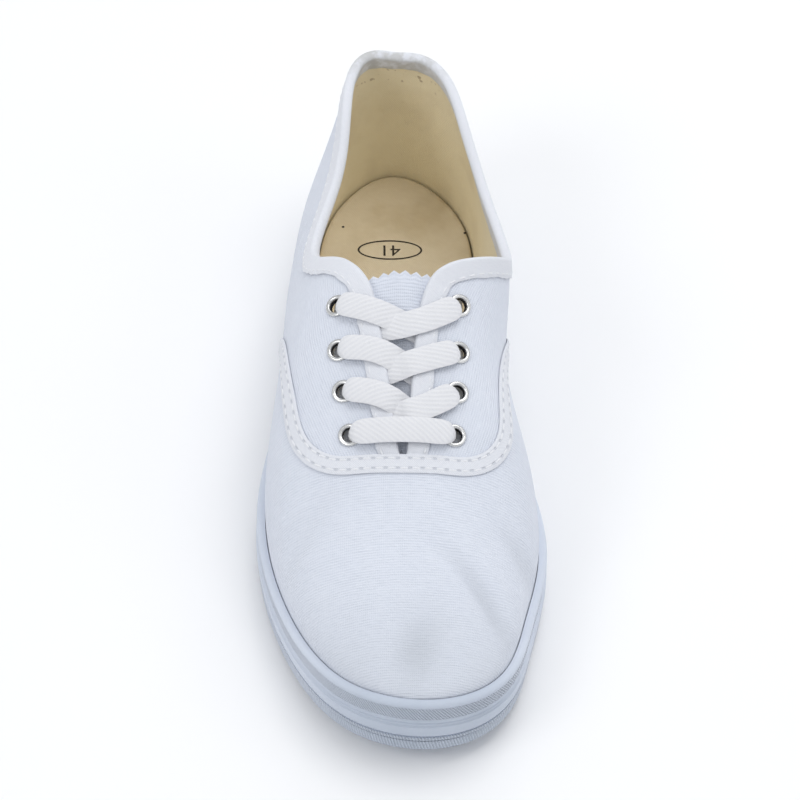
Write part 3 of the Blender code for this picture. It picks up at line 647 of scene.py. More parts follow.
def buildPiece(name, points, faces, materials, replaced=(), uvs=None, faceMaterials=None, sharp=40):
    mesh = bpy.data.meshes.new(name)
    mesh.from_pydata(np.asarray(points, float).tolist(), [], faces)
    corner = np.zeros(len(mesh.loops), np.int32)
    mesh.loops.foreach_get("vertex_index", corner)
    for layer, values in (uvs or {}).items():
        made = mesh.uv_layers.new(name=layer)
        made.data.foreach_set("uv", np.asarray(values, np.float32)[corner].ravel())
    if faceMaterials is not None:
        mesh.polygons.foreach_set("material_index", np.asarray(faceMaterials, np.int32))
    work = bmesh.new()
    work.from_mesh(mesh)
    bmesh.ops.remove_doubles(work, verts=work.verts, dist=2e-6)
    bmesh.ops.recalc_face_normals(work, faces=work.faces)
    work.to_mesh(mesh)
    work.free()
    mesh.shade_smooth()
    mesh.set_sharp_from_angle(angle=math.radians(sharp))
    for material in materials:
        mesh.materials.append(material)
    piece = bpy.data.objects.new(name, mesh)
    bpy.context.scene.collection.objects.link(piece)
    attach(piece, "root")
    if replaced:
        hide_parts(*replaced)
    return piece


def gridFaces(rows, columns, closeRows=False, closeColumns=False, start=0):
    i = np.arange(rows if closeRows else rows - 1)[:, None]
    j = np.arange(columns if closeColumns else columns - 1)[None, :]
    k, l = (i + 1) % rows, (j + 1) % columns
    corners = (i * columns + j, i * columns + l, k * columns + l, k * columns + j)
    return (np.stack(np.broadcast_arrays(*corners), -1).reshape(-1, 4) + start).tolist()


def endFaces(rows, columns, start=0):  # the two ends of a closed strip
    far = start + (rows - 1) * columns
    return [list(range(start, start + columns)), list(range(far, far + columns))]


def uvGrid(u, v):  # one pair for each point of a grid
    return np.stack(np.broadcast_arrays(u, v), -1).reshape(-1, 2)


# Upper

upperForm = {
    "ribs": 210,  # on each side
    "rows": 46,
    "tapeRows": 5,
    "throatWidth": 0.0218,
    "throatEnd": 0.6800,
    "throatRound": 0.0040,
    "cornerSoftness": 0.055,
    "cornerShare": 0.452,
    "seamFade": 0.03,
    "foldShade": 0.002,  # depth of a trough that gets the full painted shade
    "tapeWidth": 0.0065,
    "tape": 0.0007,
    "holeRadius": 0.0034,
}
# Half the gap between the facings, as a share of the throat's width
throatRows = [
    (0.300, -0.500), (0.380, 0.300), (0.415, 0.620), (0.446, 0.720), (0.468, 0.560), (0.495, 0.420),
    (0.529, 0.330), (0.581, 0.240), (0.621, 0.185), (0.662, 0.130), (0.680, 0.110),
]
eyeletForm = {
    "spread": 0.0416,
    "radius": 0.0040,
    "bore": 0.0026,
    "sheet": 0.0005,  # thickness of the metal
    "points": 40,
}
eyeletRows = [(0.4945, 1.000), (0.5507, 0.978), (0.6000, 0.922), (0.6510, 0.846)]  # share, spread

# Soft folds of the vamp: plan place, direction in degrees, half length, half width and depth
creases = [
    (0.0265, -0.0930, -54, 0.017, 0.0045, -0.0022),
    (0.0320, -0.0885, -52, 0.015, 0.0042, 0.0011),
    (0.0205, -0.0960, -56, 0.015, 0.0048, 0.0008),
    (0.0405, -0.0735, -48, 0.009, 0.0040, -0.0014),
    (0.0040, -0.1165, 75, 0.013, 0.0072, -0.0019),
    (-0.0100, -0.1120, 100, 0.012, 0.0062, 0.0006),
    (-0.0330, -0.0700, 58, 0.018, 0.0050, -0.0006),
    (-0.0280, -0.0780, 52, 0.016, 0.0045, 0.0004),
    (0.0060, -0.0720, 4, 0.026, 0.0060, 0.0004),
]


def halfGap(share):
    knots = [row[0] for row in throatRows]
    halves = [row[1] * upperForm["throatWidth"] for row in throatRows]
    half = spline(knots, halves, np.clip(share, knots[0], knots[-1]))
    left = (upperForm["throatEnd"] - share) * shoe["length"] / upperForm["throatRound"]
    return np.where(left > 0, half * np.sqrt(1 - np.clip(1 - left, 0, 1) ** 2), -upperForm["throatWidth"])


def openingEdge(angle):
    grid = np.linspace(0, 1, 401)
    point = last(angle[:, None], grid[None, :])
    share = shareOf(point[..., 1])
    collar = heights(collarRows, np.clip(share, collarRows[0][0], collarRows[-1][0]))
    byHeight = firstCrossing(collar - upperForm["tape"] - shoe["fit"] - point[..., 2], grid)
    byHeight = np.where(byHeight >= 1, 1.4, byHeight)
    byGap = firstCrossing(np.abs(point[..., 0] - ridge(share)[..., 0]) - halfGap(share), grid)
    soft = upperForm["cornerSoftness"]
    edge = np.minimum(-soft * np.log(np.exp(-byHeight / soft) + np.exp(-byGap / soft)), 0.9995)
    return np.where(around("crest", angle) >= upperForm["throatEnd"] - 2e-5, 1.0, edge)


def tapeLine(angle, edge):
    rim = last(angle[edge < 1], edge[edge < 1])
    along = np.roll(rim, -1, 0) - rim
    share = np.linspace(0.3, 1, 141)
    point = last(angle[:, None], edge[:, None] * share[None, :])
    distance = np.full(point.shape[:2], 1.0)
    for start, step in zip(rim, along):
        away = point - start
        t = np.clip((away * step).sum(-1) / (step @ step), 0, 1)
        distance = np.minimum(distance, np.linalg.norm(away - t[..., None] * step, axis=-1))
    line = edge * firstCrossing(distance - upperForm["tapeWidth"], share)
    return np.where(edge < 1, line, edge * upperForm["rows"] / (upperForm["rows"] + 1))


def ribAngles():
    fine = np.linspace(0, np.pi, 4001)
    end = float(np.interp(upperForm["throatEnd"], around("crest", fine), fine))
    corner = float(angleOf(0.44))
    # The ribs crowd at the facings' corners and at the throat's end
    dense = 1 + 2.2 * np.exp(-(((fine - corner) / 0.11) ** 2)) + 4 * np.exp(-(((fine - end) / 0.03) ** 2))
    total = np.concatenate(((0,), np.cumsum((dense[1:] + dense[:-1]) / 2)))
    side = np.interp(np.linspace(0, total[-1], upperForm["ribs"] + 1), total, fine)
    side[np.argmin(np.abs(side - end))] = end
    return np.concatenate((side, 2 * np.pi - side[-2:0:-1]))


def softenCorners(edge):  # rounds the facings' top corners
    kernel = np.exp(-((np.arange(-12, 13) / 5.0) ** 2))
    smooth = np.convolve(np.concatenate((edge[-12:], edge, edge[:12])), kernel / kernel.sum(), "valid")
    near = np.exp(-(((1 - np.cos(angles)) / 2 - upperForm["cornerShare"]) / 0.022) ** 2)
    return edge + (smooth - edge) * near


def creaseLift(point):
    lift = np.zeros(point.shape[:-1])
    for x, y, turn, length, width, depth in creases:
        dx, dy = point[..., 0] - x, point[..., 1] - y
        c, s = math.cos(math.radians(turn)), math.sin(math.radians(turn))
        ahead, aside = dx * c + dy * s, dy * c - dx * s
        aside = aside + ahead**2 * 6.0  # the fold bends a little along its length
        lift += depth * np.exp(-((ahead / length) ** 2) - (aside / width) ** 2)
    return lift


angles = ribAngles()
edges = softenCorners(openingEdge(angles))
tapeEdges = tapeLine(angles, edges)
print("opening worked out on", len(angles), "ribs")


def upperGrid():
    count, tapeCount = upperForm["rows"], upperForm["tapeRows"]
    rows = [np.full(len(angles), -1.0), np.full(len(angles), -0.5)]
    rows += [tapeEdges * i / count for i in range(count + 1)]
    rows += [tapeEdges + (edges - tapeEdges) * (i + 1) / tapeCount for i in range(tapeCount)]
    return np.array(rows)


def makeUpper():
    rows = upperGrid()
    outer = last(angles[None, :], rows)
    normal = lastNormal(np.broadcast_to(angles, rows.shape), rows)
    seamShare, seamSide = np.array(seamRows).T
    ahead = (1 - np.cos(angles))[None, :] / 2 - np.interp(1 - rows, seamSide, seamShare)
    # The folds are on the vamp, and fade out at the seam and at the foxing
    lift = creaseLift(outer) * np.clip(rows / 0.12, 0, 1) * np.clip(ahead / upperForm["seamFade"], 0, 1)
    outer = outer + normal * lift[..., None]
    inner = outer - normal * shoe["canvas"]
    height, count = rows.shape
    # Cloth coordinates in metres: round the foot and up the wall behind the seam, from the ridge on the vamp
    girth = arcLength(outline(np.append(angles, 2 * np.pi)))
    signed = np.where(angles <= np.pi, girth[:-1], girth[:-1] - girth[-1])
    step = np.diff(outer, axis=0)
    length = np.linalg.norm(step, axis=-1)
    level = np.maximum(np.linalg.norm(step[..., :2], axis=-1), 1e-9)
    up, du, dv = (
        np.concatenate((np.zeros((1, count)), np.cumsum(part, 0)))
        for part in (length, step[..., 0] / level * length, step[..., 1] / level * length)
    )
    vampU = outer[-1, :, 0] - du[-1] + du
    vampV = outer[-1, :, 1] - dv[-1] + dv
    outerUv = uvGrid(np.where(ahead > 0, vampU, signed), np.where(ahead > 0, vampV, up))
    # painted shade: the depth of each fold's trough, passed to the canvas colour
    paintedFoldShade = uvGrid(np.clip(-lift / upperForm["foldShade"], 0, 1), 0.0)
    uvs = {"cloth": np.concatenate((outerUv, uvGrid(signed, up))), "paintedFoldShade": np.concatenate((paintedFoldShade, paintedFoldShade))}
    outside = np.array(gridFaces(height, count, closeColumns=True))
    rimTop = (height - 1) * count
    size = height * count
    inside = outside[:, ::-1] + size
    j = np.arange(count)
    k = (j + 1) % count
    hem = np.stack((j, size + j, size + k, k), 1)
    openRibs = (edges[j] < 1) | (edges[k] < 1)
    j, k = rimTop + j[openRibs], rimTop + k[openRibs]
    lip = np.stack((j, k, size + k, size + j), 1)
    faces = np.concatenate((outside, inside, lip, hem)).tolist()
    kinds = [0] * len(outside) + [1] * len(inside) + [0] * (len(lip) + len(hem))
    points = np.concatenate((outer.reshape(-1, 3), inner.reshape(-1, 3)))
    cloths = [finishes["canvas"], finishes["lining"]]
    piece = buildPiece("canvasUpper", points, faces, cloths, ["upper"], uvs, kinds, 70)
    punchHoles(piece)


def punchHoles(piece):
    work = bmesh.new()
    radius = upperForm["holeRadius"]
    for centre, axes, _ in eyeletFrames():
        turned = Matrix.Translation(centre) @ Matrix(axes.tolist()).to_4x4()
        bmesh.ops.create_cone(
            work, cap_ends=True, segments=32, radius1=radius, radius2=radius, depth=0.012, matrix=turned,
        )
    mesh = bpy.data.meshes.new("holePunches")
    work.to_mesh(mesh)
    work.free()
    punches = bpy.data.objects.new("holePunches", mesh)
    bpy.context.scene.collection.objects.link(punches)
    holes = piece.modifiers.new("eyelet holes", "BOOLEAN")
    holes.operation = "DIFFERENCE"
    holes.solver = "EXACT"
    holes.object = punches
    punched = bpy.data.meshes.new_from_object(piece.evaluated_get(bpy.context.evaluated_depsgraph_get()))
    piece.modifiers.clear()
    piece.data = punched
    bpy.data.objects.remove(punches)


def eyeletFrames():
    for number, (share, spread) in enumerate(eyeletRows):
        x, y, _ = ridge(share)
        for side, word in ((-1, "lateral"), (1, "medial")):
            point, normal = seat(*place(x + side * spread * eyeletForm["spread"] / 2, y))
            right = unit(np.cross((0.0, 1.0, 0.0), normal))
            yield point, np.stack((right, np.cross(normal, right), normal), 1), "%s_%d" % (word, number + 1)


# Seam tape

# Middle of the tape from the ridge (side 0) to the foxing (side 1)
seamRows = [
    (0.6895, 0.00), (0.6880, 0.14), (0.6840, 0.26), (0.6695, 0.355), (0.6390, 0.44), (0.5900, 0.49),
    (0.5250, 0.58), (0.4750, 0.69), (0.4350, 0.80), (0.4100, 0.89), (0.3950, 0.96), (0.3890, 0.99),
]


def seamLine(count):
    rows = [(share, -side) for share, side in reversed(seamRows[1:])] + list(seamRows)
    share, side = np.array(rows).T
    length = arcLength(across(share, side))
    at = np.linspace(0, length[-1], count)
    return spline(length, share, at), spline(length, side, at)


def makeSeamTape():
    share, side = seamLine(seamForm["points"])
    middle, normal = seat(share, side)
    over = unit(np.cross(normal, np.gradient(middle, axis=0)))
    length = arcLength(middle)
    t = np.linspace(-1, 1, seamForm["columns"])
    rounded = seamForm["edge"] * np.clip((np.abs(t) - 0.8) / 0.2, 0, 1) ** 2
    shifts = np.concatenate((t, t[::-1])) * seamForm["width"] / 2
    lifts = shoe["fit"] + np.concatenate((seamForm["thick"] - rounded, np.zeros(len(t))))
    count = len(shifts)
    target = middle[:, None, :] + over[:, None, :] * shifts[None, :, None]
    shares, sides = np.repeat(share[:, None], count, 1), np.repeat(side[:, None], count, 1)
    point, up = seat(*settle(target, shares, sides))
    point = (point + up * lifts[None, :, None]).reshape(-1, 3)
    faces = gridFaces(len(middle), count, closeColumns=True) + endFaces(len(middle), count)
    uvs = {"cloth": uvGrid(length[:, None], shifts)}
    buildPiece("seamTape", point, faces, [finishes["seamTape"]], ["seam_tape"], uvs, sharp=50)
    rows = []
    for shift in seamForm["stitchRows"]:
        target = middle + over * shift
        point, up = seat(*settle(target, share, side))
        rows.append((point + up * (shoe["fit"] + seamForm["thick"]), up, length))
    makeStitches("seamStitches", rows)


# Stitches

def alongPath(at, length, rows):
    return np.stack([np.interp(at, length, rows[:, i]) for i in range(3)], -1)


def makeStitches(name, rows):
    points, faces = [], []
    ring, thread = stitchForm["ring"], stitchForm["radius"]
    profile = ((-1.0, 0.35), (-0.8, 0.85), (-0.3, 1.0), (0.3, 1.0), (0.8, 0.85), (1.0, 0.35))
    for path, normals, length in rows:
        for at in np.arange(stitchForm["pitch"] / 2, length[-1], stitchForm["pitch"]):
            centre = alongPath(at, length, path)
            along = unit(alongPath(at + 0.0005, length, path) - centre)
            normal = unit(alongPath(at, length, normals))
            over = np.cross(normal, along)
            start = len(points)
            for shift, size in profile:
                lift = (1 - shift**2) * thread * 0.5 - stitchForm["sink"]
                middle = centre + along * shift * stitchForm["length"] / 2 + normal * lift
                for i in range(ring):
                    turn = 2 * math.pi * i / ring
                    flat = over * math.cos(turn) * 1.3 + normal * math.sin(turn) * 0.8
                    points.append(middle + flat * thread * size)
            faces += gridFaces(len(profile), ring, closeColumns=True, start=start)
            faces += endFaces(len(profile), ring, start)
    buildPiece(name, points, faces, [finishes["thread"]])


# Collar tape

collarForm = {
    "uneven": 0.022,  # share of the width by which the hem wanders
    "bead": 0.62,
    "stitchRow": 0.24,
    "sunkFrom": 0.678,
    "sunkOver": 0.008,
}


def makeCollarTape():
    thick = shoe["fit"] + upperForm["tape"]
    wall = shoe["canvas"]
    rim = last(angles, edges)
    gap = np.abs(rim[:, 0] - ridge(shareOf(rim[:, 1]))[:, 0])
    gap = np.where(shareOf(rim[:, 1]) < 0.3, 1.0, gap)
    covered = edges < 1
    start = int(np.argmax(angles > np.pi))
    order = [i for i in list(range(start, len(angles))) + list(range(start)) if covered[i]]
    angle, edge, tape, rim, gap = angles[order], edges[order], tapeEdges[order], rim[order], gap[order]
    along = unit(np.gradient(rim, axis=0))
    rimNormal = lastNormal(angle, edge)
    up = np.cross(rimNormal, along)
    up *= np.sign((up * (rim - last(angle, edge - 0.01))).sum(1))[:, None]
    way = arcLength(rim)
    uneven = collarForm["uneven"] * (2 + np.sin(way * 410) + np.sin(way * 1010 + 1.3))
    part = uneven[:, None] + (1 - uneven[:, None]) * np.linspace(0, 1, 7)[None, :]
    rise = tape[:, None] + (edge - tape)[:, None] * part
    face = last(angle[:, None], rise)
    normal = lastNormal(np.broadcast_to(angle[:, None], rise.shape), rise)
    # The folded edge is rounded
    hem = shoe["fit"] + upperForm["tape"] * np.array((0.55, 0.92, 1, 1, 1, 1, 1))
    # The ends go under the seam tape
    sunk = np.clip((collarForm["sunkFrom"] - shareOf(rim[:, 1])) / collarForm["sunkOver"], 0.05, 1)[:, None]
    outside = [face[:, i] + normal[:, i] * hem[i] * sunk for i in range(7)]
    turn = np.linspace(0, np.pi, 9)[1:-1]
    middle = rim - rimNormal * (wall / 2)
    half = wall / 2 + thick * sunk
    bulge = np.minimum(half * collarForm["bead"], np.maximum(gap - 0.0002, 0)[:, None])
    bead = [middle + rimNormal * half * math.cos(t) + up * bulge * math.sin(t) for t in turn]
    inside = [face[:, i] - normal[:, i] * (wall + hem[i]) for i in range(6, -1, -1)]
    under = [face[:, i] - normal[:, i] * (wall + shoe["fit"]) for i in (0, 3, 6)]
    under += [rim - rimNormal * (wall / 2) + up * np.minimum(shoe["fit"], 0.5 * bulge)]
    under += [face[:, i] + normal[:, i] * shoe["fit"] for i in (6, 3, 0)]
    loops = np.stack(outside + bead + inside + under, 1)
    count = loops.shape[1]
    at = tape + (edge - tape) * collarForm["stitchRow"]
    row = last(angle, at) + lastNormal(angle, at) * (thick - 0.00008)
    length = arcLength(row)
    acrossTape = np.linalg.norm(np.diff(loops, axis=1), axis=-1).mean(0)
    uvs = {"cloth": uvGrid(length[:, None], np.concatenate(((0,), np.cumsum(acrossTape))))}
    faces = gridFaces(len(rim), count, closeColumns=True) + endFaces(len(rim), count)
    points = loops.reshape(-1, 3)
    buildPiece("collarTape", points, faces, [finishes["collarTape"]], ["collar_tape"], uvs, sharp=60)
    makeStitches("collarStitches", [(row, lastNormal(angle, at), length)])


# Tongue

tongueForm = {
    "thick": 0.0012,
    "drop": 0.0019,  # below the canvas, all along the throat
    "width": 0.0475,
    "top": 0.4640,
    "front": 0.7120,
    "rows": 44,
    "teeth": 12,
    "tooth": 0.0006,
    "steps": 8,  # columns for each tooth
    "crown": 0.0020,
    "crownAt": 0.014,
    "ripple": 0.00025,
}


def makeTongue():
    columns = tongueForm["teeth"] * tongueForm["steps"] + 1
    x = np.linspace(-tongueForm["width"] / 2, tongueForm["width"] / 2, columns)
    shares = np.linspace(tongueForm["front"], tongueForm["top"], tongueForm["rows"])
    y = np.broadcast_to((shoe["length"] * (0.5 - shares))[:, None], (len(shares), columns)).copy()
    phase = (np.arange(columns) / tongueForm["steps"]) % 1
    pinked = (4 * np.abs(phase - 0.5) - 1) * tongueForm["tooth"]
    away = (x / tongueForm["crownAt"]) ** 2
    bow = tongueForm["crown"] * away / (1 + away)
    rank = np.clip((np.arange(len(shares)) - len(shares) + 9) / 8, 0, 1)[:, None]
    y -= bow * rank
    y[-1] -= pinked
    y[-2] -= pinked * 0.3
    ends = (upperForm["throatEnd"], tongueForm["front"])
    drop = np.interp(shares, ends, (tongueForm["drop"], shoe["fit"]))[:, None]
    point, normal = seat(*place(x + ridge(shareOf(y))[..., 0], y))
    wave = np.sin(x[None, :] * 420 + y * 130)
    ripple = tongueForm["ripple"] * wave * np.clip((0.62 - shareOf(y)) / 0.1, 0, 1)
    top = point - normal * (shoe["canvas"] + drop - ripple)[..., None]
    under = top - normal * tongueForm["thick"]
    points = np.concatenate((top, under[:, ::-1]), 1).reshape(-1, 3)
    uv = uvGrid(np.concatenate((x, x[::-1])), y[:, :1])
    ring = 2 * columns
    faces = gridFaces(len(shares), ring, closeColumns=True)
    for first in (0, (len(shares) - 1) * ring):
        for j in range(columns - 1):
            faces.append([first + j, first + j + 1, first + ring - 2 - j, first + ring - 1 - j])
    uvs = {"cloth": uv, "paintedFoldShade": uv * 0}
    buildPiece("canvasTongue", points, faces, [finishes["canvas"]], ["tongue"], uvs, sharp=50)


# Eyelets

def makeEyelets():
    sheet, bore, radius = eyeletForm["sheet"], eyeletForm["bore"], eyeletForm["radius"]
    fit, wall = shoe["fit"], shoe["canvas"]
    profile = [(bore + sheet * 0.4, -wall - 1.2 * fit), (bore, -wall), (bore, 0.0)]
    middle, half = (radius + bore) / 2, (radius - bore) / 2
    for i in range(9):  # the rolled flange
        turn = math.pi * i / 8
        profile.append((middle - half * math.cos(turn), fit + sheet * (0.2 + math.sin(turn))))
    profile += [(radius, fit), (bore + sheet, fit), (bore + sheet, -wall - fit)]
    turns = np.linspace(0, 2 * np.pi, eyeletForm["points"], endpoint=False)
    ring = np.array([[(r * math.cos(t), r * math.sin(t), z) for r, z in profile] for t in turns])
    faces = gridFaces(len(turns), len(profile), closeRows=True, closeColumns=True)
    kinds = ([1, 1] + [0] * (len(profile) - 2)) * len(turns)  # the first two rows are the bore, painted near black as the shade in the hole
    metals = [finishes["nickel"], finishes["barrel"]]
    for centre, axes, name in eyeletFrames():
        points = ring.reshape(-1, 3) @ axes.T + centre
        replaced = ["eyelet_" + name]
        buildPiece("eyelet_ring_" + name, points, faces, metals, replaced, None, kinds, 60)


# Lace

def lacePiece(name, paths, replaced):
    points, faces, uvs = [], [], []
    start = 0
    for path, ridgeTurn in paths:
        c, s = math.cos(math.radians(ridgeTurn)), math.sin(math.radians(ridgeTurn))
        knots = np.array([row[:3] for row in path])
        length = arcLength(knots)
        at = np.arange(0, length[-1], laceForm["step"])
        middle = np.stack([spline(length, knots[:, i], at) for i in range(3)], 1)
        width = np.interp(at, length, [row[3] for row in path])
        width = np.convolve(np.pad(width, 4, "edge"), np.ones(9) / 9, "valid")
        normal = unit(alongPath(at, length, np.array([row[4] for row in path])))
        along = unit(np.gradient(middle, axis=0))
        over = unit(np.cross(normal, along))
        normal = np.cross(along, over)
        t = np.linspace(-1, 1, laceForm["columns"])
        crown = (1 - 0.55 * np.abs(t) ** 4)[None, :]
        v = t[None, :] * width[:, None] / 2
        acrossRidge = v * c - at[:, None] * s
        alongRidge = at[:, None] * c + v * s
        phase = acrossRidge * 2 * np.pi / laceForm["pitch"]
        squeeze = laceForm["width"] / width[:, None]  # a folded lace is thicker
        bow = laceForm["crowned"] * (1 - t**2)[None, :] * squeeze
        half = laceForm["thick"] / 2 * crown * squeeze**0.5
        faded = 0.75 + 0.25 * np.sin(at * 900 + 1.0)[:, None]
        ridged = laceForm["ridge"] * faded * np.sin(phase) * crown
        base = middle[:, None, :] + over[:, None, :] * v[..., None]
        upper = base + normal[:, None, :] * (bow + half + ridged)[..., None]
        lower = base + normal[:, None, :] * (bow - half)[..., None]
        points.append(np.concatenate((upper, lower[:, ::-1]), 1).reshape(-1, 3))
        cells = np.stack((acrossRidge, alongRidge), -1)
        uvs.append(np.concatenate((cells, cells[:, ::-1]), 1).reshape(-1, 2))
        count = 2 * laceForm["columns"]
        faces += gridFaces(len(at), count, closeColumns=True, start=start) + endFaces(len(at), count, start)
        start += len(at) * count
    uvs = {"cloth": np.concatenate(uvs)}
    buildPiece(name, np.concatenate(points), faces, [finishes["lace"]], replaced, uvs, sharp=60)


def laceRow(x, y, lift, width):  # x is measured from the ridge, lift from the canvas
    point, normal = seat(*place(x + float(ridge(shareOf(y))[0]), y))
    return (*(point + normal * lift), width, normal)


def makeLace():
    wide, narrow = laceForm["width"], laceForm["narrow"]
    length = shoe["length"]
    lowest = eyeletRows[-1]
    for number, (row, lower) in enumerate(zip(eyeletRows, eyeletRows[1:])):
        reach = row[1] * eyeletForm["spread"] / 2
        y = length * (0.5 - row[0])
        fall = length * (lower[0] - row[0]) * row[1] / (row[1] + lower[1])
        gap = float(halfGap(row[0] + 0.03))
        facing = gap / reach
        under = -facing - 0.12
        paths = []
        for side, over, word in ((-1, 0.0, "left"), (1, laceForm["over"], "right")):
            bow = laceForm[word + "Bow"][number]
            # Part of the way from the middle to the eyelet, lift and width
            rows = (
                (0.975, -0.0038, narrow), (0.970, -0.0016, narrow), (0.950, 0.0006, narrow * 1.2),
                (0.905, 0.0018, wide * 0.84), (0.850, 0.0022, wide * 0.97), (0.72, 0.0022, wide),
                (0.55, 0.0022, wide), (facing + 0.12, 0.0021, wide), (facing * 0.55, 0.0008 + over, wide),
                (0.0, -0.0006 + over, wide), (under * 0.45, -0.0014 + over * 0.7, wide),
                (under, -0.0029, wide * 0.9), (under - 0.18, -0.0031, wide * 0.8),
            )
            path = []
            for part, lift, width in rows:
                sag = bow * math.sin(math.pi * min(1, (1 - part) / 1.3))
                path.append(laceRow(side * reach * part, y - fall * (1 - part) - sag, lift, width))
            paths.append((path, laceForm[word + "Turn"]))
        lacePiece("lace_level_%d" % (number + 1), paths, ["lace_crossing_%d" % (number + 1)])
    reach = lowest[1] * eyeletForm["spread"] / 2
    y = length * (0.5 - lowest[0])
    half = [
        (0.970, -0.0038, narrow), (0.965, -0.0016, narrow), (0.940, 0.0006, narrow * 1.2),
        (0.890, 0.0019, wide * 0.80), (0.820, 0.0024, wide * 0.94), (0.68, 0.0026, wide),
        (0.42, 0.0030, wide), (0.14, 0.0031, wide),
    ]
    path = [laceRow(-part * reach, y, lift, width) for part, lift, width in half]
    path += [laceRow(part * reach, y, lift, width) for part, lift, width in reversed(half)]
    lacePiece("lace_bottom_bar", [(path, laceForm["barTurn"])], ["lace_bar"])


# Sole

# Section of the foxing: share of its height, and depth as a share of its thickness
foxingSteps = [
    (0.00, 0.20), (0.02, 0.10), (0.05, 0.06), (0.095, 0.06), (0.104, 0.20), (0.112, 0.34), (0.130, 0.34),
    (0.140, 0.18), (0.155, 0.04), (0.18, 0.00), (0.36, 0.00), (0.385, 0.02), (0.400, 0.15), (0.412, 0.19),
    (0.430, 0.19), (0.442, 0.08), (0.458, 0.03), (0.474, 0.08), (0.486, 0.19), (0.504, 0.19), (0.516, 0.08),
    (0.532, 0.03), (0.550, 0.08), (0.565, 0.17), (0.60, 0.17), (0.88, 0.19), (0.894, 0.15), (0.908, 0.06),
    (0.920, 0.05), (0.95, 0.10), (0.975, 0.24), (0.99, 0.42), (1.00, 0.62), (1.00, 1.00), (0.00, 1.00),
]
soleForm = {"columns": 420, "round": 0.0012, "footbed": 0.0128, "insole": 0.0030, "rows": 110, "across": 36}


def roundSole(angle):  # whole patterns fit round the sole, so they meet at the heel
    length = arcLength(outline(angle))
    return length * round(length[-1] / rubber["repeat"]) * rubber["repeat"] / length[-1]


def overSole(plan, height):  # plan points at a height over the sole's underside
    return np.concatenate((plan, (underside(shareOf(plan[..., 1])) + height)[..., None]), -1)


def makeFoxing():
    angle = np.linspace(0, 2 * np.pi, soleForm["columns"] + 1)
    share = shareOf(outline(angle)[:, 1])
    low = underside(share) + shoe["outsoleEdge"] + shoe["fit"]
    height = heights(foxingTopRows, share) - low
    rise, depth = np.array(foxingSteps).T
    columns = []
    for step in range(len(foxingSteps)):
        plan = inset(angle, depth[step] * shoe["foxing"])
        columns.append(np.concatenate((plan, (low + rise[step] * height)[:, None]), 1))
    points = np.stack(columns, 1).reshape(-1, 3)
    length = roundSole(angle)[:, None]
    uvs = {"cloth": uvGrid(length, rise * height[:, None]), "band": uvGrid(length, rise)}
    faces = gridFaces(len(angle), len(rise), closeColumns=True)
    buildPiece("foxingBand", points, faces, [finishes["foxing"]], ["foxing"], uvs, sharp=45)


def plateGrid(distance, height):  # level sheet inside the sole's outline
    angle = np.linspace(0, np.pi, soleForm["rows"])
    left, right = inset(angle, distance), inset(-angle, distance)
    t = np.linspace(0, 1, soleForm["across"])[None, :, None]
    return overSole(left[:, None, :] * (1 - t) + right[:, None, :] * t, height)


def makeOutsole():
    angle = np.linspace(0, 2 * np.pi, soleForm["columns"] + 1)
    edge, bend, height = 0.2 * shoe["foxing"], soleForm["round"], shoe["outsoleEdge"]
    core = shoe["foxing"] + shoe["canvas"] + 3 * shoe["fit"]
    # Distance inside the outline, height, and 0 on the tread to 1 on the side
    section = [
        (edge + bend, 0.0, 0.0), (edge + bend * 0.45, bend * 0.12, 0.3),
        (edge + bend * 0.12, bend * 0.45, 0.7), (edge, bend, 1.0),
        (edge, height * 0.45, 1.0), (edge, height * 0.65, 1.0), (edge, height * 0.85, 1.0),
        (edge + 0.0002, height - 0.0001, 1.0), (edge + 0.0006, height, 1.0),
        (core, height, 1.0), (core, soleForm["footbed"], 1.0),
    ]
    points = [overSole(inset(angle, distance), z) for distance, z, _ in section]
    length = roundSole(angle)
    _, level, side = np.array(section).T
    clothUvs, bands = [uvGrid(length, level[:, None])], [uvGrid(length, side[:, None])]
    faces = gridFaces(len(section), len(angle))
    size = len(section) * len(angle)
    for distance, z in ((edge + bend, 0.0), (core, soleForm["footbed"])):
        sheet = plateGrid(distance, z).reshape(-1, 3)
        faces += gridFaces(soleForm["rows"], soleForm["across"], start=size)
        size += len(sheet)
        points.append(sheet)
        clothUvs.append(sheet[:, :2])
        bands.append(np.zeros((len(sheet), 2)))
    points = np.concatenate(points)
    uvs = {"cloth": np.concatenate(clothUvs), "band": np.concatenate(bands)}
    buildPiece("outsoleRubber", points, faces, [finishes["outsole"]], ["outsole"], uvs, sharp=45)


def makeInsole():
    edge = shoe["foxing"] + shoe["canvas"] + 3 * shoe["fit"]
    base = soleForm["footbed"] + shoe["fit"]
    thick = soleForm["insole"]
    top = plateGrid(edge + 0.4 * thick, base + thick)
    bottom = plateGrid(edge, base)
    angle = np.linspace(0, 2 * np.pi, 2 * (soleForm["rows"] - 1), endpoint=False)
    section = ((0.0, 0.0), (0.0, 0.5), (0.1, 0.85), (0.4, 1.0))  # inwards and upwards, in thicknesses
    side = np.stack([overSole(inset(angle, edge + into * thick), base + up * thick) for into, up in section])
    points = np.concatenate([block.reshape(-1, 3) for block in (top, bottom, side)])
    rows, columns = top.shape[:2]
    faces = gridFaces(rows, columns) + gridFaces(rows, columns, start=rows * columns)
    faces += gridFaces(len(side), len(angle), closeColumns=True, start=2 * rows * columns)
    uvs = {"cloth": points[:, :2]}
    buildPiece("insoleSheet", points, faces, [finishes["insole"]], ["insole"], uvs, sharp=50)


# Mark on the insole: a plain oval round a plain number, in thin ink, and two pinholes drawn as dark ink
# discs, painted shade in the holes

markForm = {
    "x": -0.0023,
    "y": 0.0917,
    "width": 0.0233,
    "depth": 0.0100,
    "line": 0.0007,
    "inkAndPinholeShade": 0.00006,
    "text": "41",
    "textSize": 0.0078,
    "pins": ((-0.0191, 0.1034), (0.0249, 0.1007)),
    "pin": 0.0005,
}


